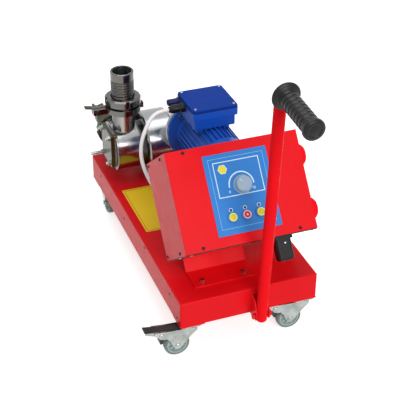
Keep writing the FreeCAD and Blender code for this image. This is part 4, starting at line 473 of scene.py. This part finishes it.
# print on the panel film
def make_panel():
    """Frames, dial and plain marks, as thin raised print."""
    low, high = FILM, FILM + 0.12
    outer = [(114, 46), (272, 46), (272, 237), (114, 237)]
    inner = [(126, 131), (257, 131), (257, 226), (126, 226)]
    build("panel_outline", [stroke(outer, 1.3, low, high, closed=True)], PANEL, "pale_print")
    dial_x = KNOB_X - 2
    dial = [stroke(inner, 2.4, low, high, closed=True),
            stroke(arc(dial_x, KNOB_UP, 35.5, 184, -2), 3.6, low, high + 0.03)]
    for angle in (-25, 205):
        dial.append(stroke(arc(dial_x, KNOB_UP, 33, angle, angle + 0.1, 1), 1.4, low, high + 0.02))
    build("panel_dial", dial, PANEL, "white_print")
    # 0 on the left, 10 on the right
    numbers = [stroke(ellipse(x, 143, 1.9, 3.3, 24), 1.1, low, high, closed=True) for x in (158, 230.5)]
    numbers.append(stroke([(223.5, 144.8), (225.2, 146.3), (225.2, 139.7)], 1.1, low, high))
    build("dial_numbers", numbers, PANEL, "white_print")
    patch = ellipse(150, 206, 13, 13, 6)
    build("panel_patch", [prism(patch, low, high + 0.1)], PANEL, "yellow_print")
    build("panel_patch_rim", [stroke(patch, 1.5, low, high + 0.14, closed=True)], PANEL, "white_print")
    ring = lathe([(5.6, low), (5.6, high), (4.0, high), (4.0, low)], 32, closed=True)
    build("lamp_rings", [shifted(ring, x, LAMP_UP) for x in BUTTONS_X.values()], PANEL, "white_print")


def make_buttons():
    """A pale ring and a domed cap on each button, and a pale dot on the middle one; the ring's and the
    dot's pale colour is a painted highlight.
    """
    crest = FILM + 8
    rim = lathe([(11.4, crest - 2), (11.4, crest + 0.4), (10.8, crest + 1), (9.2, crest + 1),
                 (8.6, crest + 0.5), (8.6, crest - 2)], 48, closed=True)
    dome = lathe([(8.3, crest - 0.1), (8.3, crest + 0.3), (7.2, crest + 0.9), (5, crest + 1.4),
                  (2.6, crest + 1.6), (0.4, crest + 1.7)])
    for name, x in BUTTONS_X.items():
        # the pale rings and the stop button's dot are painted highlights
        core, ring = ("red_plastic", "painted_highlight_pink") if name == "stop" else ("yellow", "painted_highlight_yellow")
        body = "push_" + name
        build("button_rim_highlight_" + name, [shifted(rim, x, BUTTON_UP)], PANEL, ring, body)
        build("button_dome_" + name, [shifted(dome, x, BUTTON_UP)], PANEL, core, body)
    mark = lathe([(2.8, crest + 1.2), (2.8, crest + 1.75), (2, crest + 1.9), (0.3, crest + 1.95)], 24)
    build("button_highlight_stop", [shifted(mark, BUTTONS_X["stop"], BUTTON_UP)], PANEL, "painted_highlight_pink",
          "push_stop")


def make_knob():
    """Cap and pointer of the speed knob."""
    gap, height = 0.4, 19
    top = FILM + gap + height
    cap = [(19.5, top - 0.4), (19.5, top + 0.4), (18.4, top + 0.9), (12, top + 1.25), (0.4, top + 1.35)]
    build("knob_cap", [shifted(lathe(cap), KNOB_X, KNOB_UP)], PANEL, "knob_grey", "knob")
    angle = math.radians(128)
    pointer = [(KNOB_X + r * math.cos(angle), KNOB_UP + r * math.sin(angle)) for r in (9, 18.4)]
    build("knob_pointer", [stroke(pointer, 1.8, top + 0.5, top + 1.5)], PANEL, "white_print", "knob")


def make_box_details():
    """Rings on the round covers, ribs and a screw on the connector."""
    bead = lathe([(24, 18.6), (24.6, 19.5), (23.8, 20.3), (22.6, 20.4), (22, 19.4), (22, 18.6)], 48,
                 closed=True)
    foot = lathe([(33.5, 0), (33.5, 2.2), (32, 3), (30, 3), (30, 0)], 48, closed=True)
    rings = [shifted(ring, CAP_X, up) for up in CAPS_UP for ring in (bead, foot)]
    build("side_cap_rings", rings, RIGHT_WALL, "red_paint_painted_light")
    cap_face = 21.8
    fasten("side_cap_screws", socket_screw(4, 2), [(CAP_X, up) for up in CAPS_UP],
           RIGHT_WALL @ Matrix.Translation((0, 0, cap_face)), "zinc")
    # the connector hangs under the box: this frame starts at the top of its front face
    connector_x, set_back = 286, 19
    front = local(BOX_CORNER + (X * connector_x - FACE_OUT * set_back) * MM, X, FACE_UP)
    ribs = [prism(rounded(-19, 19, -60 + k * 7, -57.4 + k * 7, 1.2, 3), -0.2, 0.8) for k in range(4)]
    build("connector_ribs", ribs, front, "black_plastic")
    fasten("connector_screw", socket_screw(2.8, 1.8), [(3, -21)], front, "zinc")


def make_rivets():
    """Blind rivets in the deck's left side."""
    side = local(deck_point(0, 0, 0), -Y, Z)
    head = lathe([(3.6, 0), (3.6, 0.5), (2.9, 1.2), (1.2, 1.4), (1.1, 0.6), (0.2, 0.6)], 24)
    fasten("deck_rivets", head, [(-28.5, 16), (-89, 55), (-311, 66), (-511, 44), (-760, 55)], side,
           "black_plastic")


def make_sticker():
    """Blank yellow sticker with a thin border."""
    top = local(deck_point(0, 0, DECK_TOP), X, Y)
    left, right, near, far = 25, 140, 364, 609
    inset = 6
    build("deck_sticker", [prism(rounded(left, right, near, far, 3), 0.02, 0.3)], top, "sticker")
    border = rounded(left + inset, right - inset, near + inset, far - inset, 2)
    build("sticker_border", [stroke(border, 1.2, 0.25, 0.36, closed=True)], top, "dark_print")


# welds
def weld(name, starts_and_ends, radius=2.6):
    """Rippled beads between pairs of places in the deck's frame."""
    shells, ripple, sides = [], 1.3, 10
    for start, end in starts_and_ends:
        start, end = Vector(start), Vector(end)
        along = (end - start).normalized()
        side = along.orthogonal().normalized()
        other = along.cross(side)
        steps = max(8, int((end - start).length / ripple))
        loops = []
        for k in range(steps + 1):
            # ripples along the bead, and narrow ends
            swell = radius * (0.86 + 0.14 * abs(math.sin(k * 0.9))) * (0.55 if k in (0, steps) else 1)
            middle = start + (end - start) * (k / steps)
            loops.append([tuple(middle + (side * math.cos(a) + other * math.sin(a)) * swell)
                          for a in [2 * math.pi * n / sides for n in range(sides)]])
        shells.append((loops, False))
    where = Matrix.Translation(DECK) @ Matrix.Scale(MM, 4)
    build(name, shells, where, "red_paint", smooth=60)


def make_welds():
    """Beads in front of the stand's foot and beside the drawbar's bracket."""
    bead_z = DECK_TOP + 2
    weld("stand_welds", [((low, 55, bead_z), (high, 55, bead_z)) for low, high in ((70, 112), (196, 238))])
    weld("bracket_welds", [((x, -0.6, 4), (x, -0.6, 68)) for x in (204.5, 247.5)], 2.2)


# casters
def make_casters():
    """Four bolts in each caster plate, and the wheels."""
    pitch, plate_low = 22, -6
    bolts = [(x + side_x, -(y + side_y)) for x in CASTERS_X.values() for y in CASTERS_Y.values()
             for side_x in (-pitch, pitch) for side_y in (-pitch, pitch)]
    fasten("caster_bolts", hex_head(5.6, 3.2, washer=0.8), bolts, local(deck_point(0, 0, plate_low), X, -Y))
    for end in CASTERS_Y:
        for side in CASTERS_X:
            make_wheel("%s_%s" % (end, side), Y if end == "front" else X)


def make_wheel(name, axis):
    """Round tyre on a ribbed core, in place of the plain wheel."""
    low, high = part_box("caster_wheel_" + name)
    middle = (low + high) / 2
    across = Z.cross(axis)
    where = local(middle, across, Z)
    # each profile is one half, mirrored about the wheel's middle
    half = [(29.5, -9.5), (31.5, -11.4), (34.2, -11.2), (36.4, -8.8), (37.35, -4.5)]
    tyre = half + [(37.45, 0)] + [(radius, -z) for radius, z in reversed(half)]
    body = "wheel_" + name
    build("tyre_" + name, [lathe(tyre, 72, closed=True)], where, "tread", body)
    half = [(4.2, -11.6), (9.5, -11.6), (11, -10.4), (12, -4.4), (24.5, -3.4), (26, -9.8), (29.7, -10.2)]
    core = half + [(radius, -z) for radius, z in reversed(half)]
    shells = [lathe(core, 72, closed=True)]
    for k in range(8):
        angle = math.pi * k / 4 + math.pi / 8
        along = Vector((math.cos(angle), math.sin(angle)))
        aside = Vector((-along.y, along.x)) * 0.9
        corners = [along * 10.5 + aside, along * 26.5 + aside, along * 26.5 - aside, along * 10.5 - aside]
        shells.append(prism([tuple(corner) for corner in corners], -8.2, 8.2))
    piece = build("wheel_core_" + name, shells, where, "nylon", body)
    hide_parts("caster_wheel_" + name)
    washers = [shifted(lathe([(6.2, 0), (6.2, 0.6), (4.3, 0.6), (4.3, 0)], 24, closed=True), 0, 0, z)
               for z in (-12.2, 11.6)]
    build("wheel_washers_" + name, washers, where, "zinc", body)


def make_brakes():
    """Zinc side plates on the braked forks and under the pedals, and ribs on the pedals' ends."""
    # outlines as (x, height) from the swivel's axis and the fork's top
    wing = [(-104, -4.5), (-70, -9), (-24, -12), (14, -15), (20, -22), (2, -38), (-20, -66), (-29, -75),
            (-37, -78), (-45, -75), (-52, -64), (-60, -46), (-68, -35.5), (-80, -34), (-94, -24),
            (-105, -16)]
    lever = [(-129.5, -1), (-62, -9.5), (-62, -16), (-94, -20), (-112, -14), (-131, -7)]
    axle, stop = (-37, -67.5), (-84, -22)
    pivot_x, pivot_drop = -24, 22
    # the flat end of the pedal's top, from the pivot
    tip, knee = Vector((-108, 0, 24)), Vector((-68, 0, 16))
    boss = lathe([(9, 18), (9, 19.5), (8, 20.4), (0.4, 20.8)], 32)
    for side, x in CASTERS_X.items():
        fork, brake = "swivel_front_" + side, "brake_front_" + side
        centre = deck_point(x, CASTERS_Y["front"], FORK_TOP)
        for face, sense in (("near", 1), ("far", -1)):
            where = local(centre, X * sense, Z)
            for piece, body, outline, inner, outer, bevel in (
                    ("fork_wing", fork, wing, 16.4, 18.2, 0.5),
                    ("pedal_plate", brake, lever, 13.3, 15.2, 0.4)):
                turned = [(px * sense, pz) for px, pz in outline]
                build("%s_%s_%s" % (piece, side, face), [prism(turned, inner, outer, bevel)], where, "zinc",
                      body)
        bosses = [shifted(boss, px, pz) for px, pz in (axle, stop)]
        build("fork_bosses_" + side, bosses, local(centre, X, Z), "zinc", fork)
        pivot = deck_point(x + pivot_x, CASTERS_Y["front"], FORK_TOP - pivot_drop)
        where = local(pivot + tip * MM, (knee - tip).normalized(), Y)
        ribs = [prism(rounded(5 + k * 6.5, 8 + k * 6.5, -11.5, 11.5, 1.2, 3), -0.3, 1.1, 0.5)
                for k in range(5)]
        build("pedal_ribs_" + side, ribs, where, "pad_rubber", brake)


# drawbar grip
def make_grip():
    """Soft ribbed grip with a collar and a mushroom end, in place of the plain one."""
    # the tube leans forward from its pivot and bends over at its top, where the grip starts a step outwards
    lean = math.radians(4.5)
    pivot_y, pivot_z, bar, step = -35, 12, 721, 19
    origin = deck_point(226, pivot_y - bar * math.sin(lean) - step * math.cos(lean),
                        pivot_z + bar * math.cos(lean) - step * math.sin(lean))
    out = Vector((0, -math.cos(lean), -math.sin(lean)))
    where = local(origin, X, out.cross(X))
    profile = [(16.05, 0), (24, 0.2), (31, 1.2), (35.4, 3.4), (37.1, 6.6), (37.2, 9.4), (36.2, 11.8),
               (32.6, 13.6), (28, 14.8), (25.6, 16.6), (24.6, 20)]
    ribs, first, pitch = 8, 24, 15.6
    for k in range(ribs):
        start = first + k * pitch
        profile += [(24.6, start), (23.4, start + 0.9), (22.3, start + 1.6), (22.2, start + 4.6),
                    (23.4, start + 5.4), (24.6, start + 6.4), (24.9, start + 9.6)]
    profile += [(24.4, 149), (24.6, 151), (27.2, 152.6), (28.4, 155), (28.4, 161), (27.4, 164),
                (24.6, 166.2), (19, 167.2), (16.5, 167), (15.4, 165.8), (10, 166.8), (4, 167.6),
                (0.3, 167.8), (0.3, 153), (16.05, 153)]
    piece = build("soft_grip", [lathe(profile, 72, closed=True)], where, "grey_rubber", "drawbar",
                  smooth=50)
    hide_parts("grip")


# motor
def make_motor_details():
    """Screws and gasket of the terminal lid, screws of the cowl, and the gearbox's cover and plug."""
    lid_y, screw_x, screw_y = 505, 60, 59
    lid = local(deck_point(MOTOR_X, lid_y, LID_TOP), X, Y)
    fasten("lid_screws", socket_screw(4.4, 2.8),
           [(x, y) for x in (-screw_x, screw_x) for y in (-screw_y, screw_y)], lid)
    rim = rounded(-71.4, 71.4, -70.4, 70.4, 9)
    build("lid_gasket", [stroke(rim, 1.2, -9.2, -7.6, closed=True)], lid, "black_rubber")
    cowl_radius, cowl_back = 79.6, 226
    for number, angle in enumerate((38, 142, 218, 322)):
        turn = math.radians(angle)
        radial = Vector((math.cos(turn), 0, math.sin(turn)))
        place = deck_point(MOTOR_X, FLANGE_Y - cowl_back, MOTOR_Z) + radial * cowl_radius * MM
        fasten("cowl_screw_%d" % number, socket_screw(3.6, 2.2), [(0, 0)], local(place, Y.cross(radial), Y))
    cover_x, cover_ring, plug_y = 337, 56, 86
    cover = local(deck_point(cover_x, PORT_Y, SHAFT_Z), Y, Z)
    fasten("gear_cover_screws", socket_screw(5, 4), ellipse(0, 0, cover_ring, cover_ring, 6, 0.3), cover)
    build("gear_shaft_cap", [lathe([(24, 0), (24, 3), (22, 4.4), (18, 4.8), (0.5, 5)])], cover,
          "black_rubber")
    fasten("gear_plugs", hex_head(9, 7, washer=1.5), [(0, 0)],
           local(deck_point(MOTOR_X, PORT_Y + plug_y, SHAFT_Z), -X, Z))


def make_pump_casing():
    """Bright round casing over the pump body, a lighter zinc liner in the outlet's bore as painted light
    inside it, and a collar at the inlet.
    """
    casing = [(50.5, 24), (73, 24), (74.5, 25), (74.5, 28.6), (73.5, 29.6), (72, 30.2), (72, 118),
              (71, 120), (50.5, 120.8)]
    build("pump_casing", [lathe(casing, 96, closed=True)], local(SHAFT, Y, Z), "polished")
    ports = deck_point(PORT_X, PORT_Y, SHAFT_Z)
    # painted light: a lighter zinc liner in the hose tail's bore, where shade falls
    bore_light_liner = [(30.4, 200), (31.2, 200), (31.2, 259.6), (30.4, 259.6)]
    build("bore_liner_painted_light", [lathe(bore_light_liner, 72, closed=True)], local(ports, X, Y), "zinc")
    collar = [(40, 58), (44, 58), (44, 76), (42.5, 77.5), (40, 77.5)]
    build("inlet_collar", [lathe(collar, 64, closed=True)], local(ports, -X, Z), "polished")


def make_cord():
    """Motor cable: the same route as the CAD tube, as one smooth curve."""
    low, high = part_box("cable_gland")
    gland = Vector((low.x, (low.y + high.y) / 2, (low.z + high.z) / 2))
    entry_x, entry_up, entry_stub, diameter = 59.5, 170, 28, 11.5
    entry = BOX_CORNER + (X * entry_x + FACE_UP * entry_up - FACE_OUT * (BOX_DEPTH + entry_stub)) * MM
    from_gland = ((0, 0, 0), (-30, 0, 0), (-56.9, -7.9, -10.7), (-81.3, -24.4, -37.5), (-101.8, -41.5, -74),
                  (-108.4, -63, -117.2))
    from_entry = ((-29.1, 128.9, 1.7), (-12.3, 87.3, -29.5), (0, 39.5, -30.7), (0, 0, 0))
    points = [gland + Vector(step) * MM for step in from_gland]
    points += [entry + Vector(step) * MM for step in from_entry]
    curve = bpy.data.curves.new("cord", "CURVE")
    curve.dimensions = "3D"
    curve.bevel_depth = diameter / 2 * MM
    curve.bevel_resolution = 8
    curve.resolution_u = 24
    curve.use_fill_caps = True
    spline = curve.splines.new("NURBS")
    spline.points.add(len(points) - 1)
    for point, place in zip(spline.points, points):
        point.co = (*place, 1)
    spline.order_u = 3
    spline.use_endpoint_u = True
    cord = bpy.data.objects.new("cord", curve)
    bpy.context.scene.collection.objects.link(cord)
    curve.materials.append(FINISHES["white_rubber"])
    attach(cord, "chassis")
    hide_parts("motor_cable")


# light, floor and camera
def make_world():
    """White where it is seen or mirrored, and a soft even light elsewhere."""
    world = bpy.data.worlds.new("studio")
    world.use_nodes = True
    tree = world.node_tree
    tree.nodes.clear()
    rays = tree.nodes.new("ShaderNodeLightPath")
    seen = any_ray(tree, rays)
    soft, white = tree.nodes.new("ShaderNodeBackground"), tree.nodes.new("ShaderNodeBackground")
    soft.inputs["Color"].default_value = (0.96, 0.98, 1.0, 1)
    soft.inputs["Strength"].default_value = 0.25
    white.inputs["Color"].default_value = (1, 1, 1, 1)
    white.inputs["Strength"].default_value = 1.0
    choose = tree.nodes.new("ShaderNodeMixShader")
    tree.links.new(seen, choose.inputs["Fac"])
    tree.links.new(soft.outputs["Background"], choose.inputs[1])
    tree.links.new(white.outputs["Background"], choose.inputs[2])
    output = tree.nodes.new("ShaderNodeOutputWorld")
    tree.links.new(choose.outputs["Shader"], output.inputs["Surface"])
    bpy.context.scene.world = world


def any_ray(tree, rays):
    """1 for camera, glossy and transmission rays."""
    total = rays.outputs["Is Camera Ray"]
    for name in ("Is Glossy Ray", "Is Transmission Ray"):
        more = tree.nodes.new("ShaderNodeMath")
        more.operation = "MAXIMUM"
        tree.links.new(total, more.inputs[0])
        tree.links.new(rays.outputs[name], more.inputs[1])
        total = more.outputs["Value"]
    return total


def make_floor():
    """Pale floor, lit up for the rays that see it."""
    mesh = bpy.data.meshes.new("floor")
    reach, glow_strength = 9, 0.68
    mesh.from_pydata([(-reach, -reach, 0), (reach, -reach, 0), (reach, reach, 0), (-reach, reach, 0)], [],
                     [(0, 1, 2, 3)])
    floor = bpy.data.objects.new("floor", mesh)
    bpy.context.scene.collection.objects.link(floor)
    material, tree, shader = new_material("floor")
    shader.inputs["Base Color"].default_value = (0.86, 0.86, 0.86, 1)
    shader.inputs["Roughness"].default_value = 0.9
    shader.inputs["Specular IOR Level"].default_value = 0.0
    shader.inputs["Emission Color"].default_value = (1, 1, 1, 1)
    rays = tree.nodes.new("ShaderNodeLightPath")
    glow = tree.nodes.new("ShaderNodeMath")
    glow.operation = "MULTIPLY"
    glow.inputs[1].default_value = glow_strength
    tree.links.new(any_ray(tree, rays), glow.inputs[0])
    tree.links.new(glow.outputs["Value"], shader.inputs["Emission Strength"])
    mesh.materials.append(material)


def add_light(name, kind, energy, place, target, size=1.0, angle=0.0):
    """A light that points at a target: an area by its size, a sun by its angle."""
    light = bpy.data.lights.new(name, kind)
    light.energy = energy
    if kind == "AREA":
        light.size = size
    else:
        light.angle = math.radians(angle)
    item = bpy.data.objects.new(name, light)
    item.location = place
    item.rotation_mode = "QUATERNION"
    item.rotation_quaternion = (Vector(target) - Vector(place)).to_track_quat("-Z", "Y")
    bpy.context.scene.collection.objects.link(item)


def make_lights():
    """A broad key light from the front, and a soft light from above."""
    add_light("key", "SUN", 1.86, (0.2, -3.8, 2.1), (0, 0, 0.2), angle=40)
    add_light("top", "AREA", 34, (-0.2, 0.2, 3.0), (0, 0.1, 0.3), size=2.4)


def make_camera():
    """The photograph's own camera."""
    place = deck_point(-786.7, -2202.1, 1912.6)
    azimuth, elevation, roll = math.radians(20.92), math.radians(32.59), math.radians(0.28)
    data = bpy.data.cameras.new("camera")
    data.sensor_width = 36
    data.lens = 98.64
    data.clip_start = 0.1
    data.clip_end = 60
    camera = bpy.data.objects.new("camera", data)
    bpy.context.scene.collection.objects.link(camera)
    forward = Vector((math.sin(azimuth) * math.cos(elevation), math.cos(azimuth) * math.cos(elevation),
                      -math.sin(elevation)))
    right = Vector((math.cos(azimuth), -math.sin(azimuth), 0))
    up = right.cross(forward)
    turned_right = right * math.cos(roll) + up * math.sin(roll)
    turned_up = up * math.cos(roll) - right * math.sin(roll)
    turn = Matrix((turned_right, turned_up, -forward)).transposed().to_4x4()
    camera.matrix_world = Matrix.Translation(place) @ turn
    bpy.context.scene.camera = camera


dress_nodes()
make_panel()
make_buttons()
make_knob()
make_box_screws()
make_box_details()
make_rivets()
make_sticker()
make_welds()
make_casters()
make_brakes()
make_grip()
make_motor_details()
make_pump_casing()
make_cord()
make_world()
make_floor()
make_lights()
make_camera()
bpy.context.scene.view_settings.view_transform = "Standard"
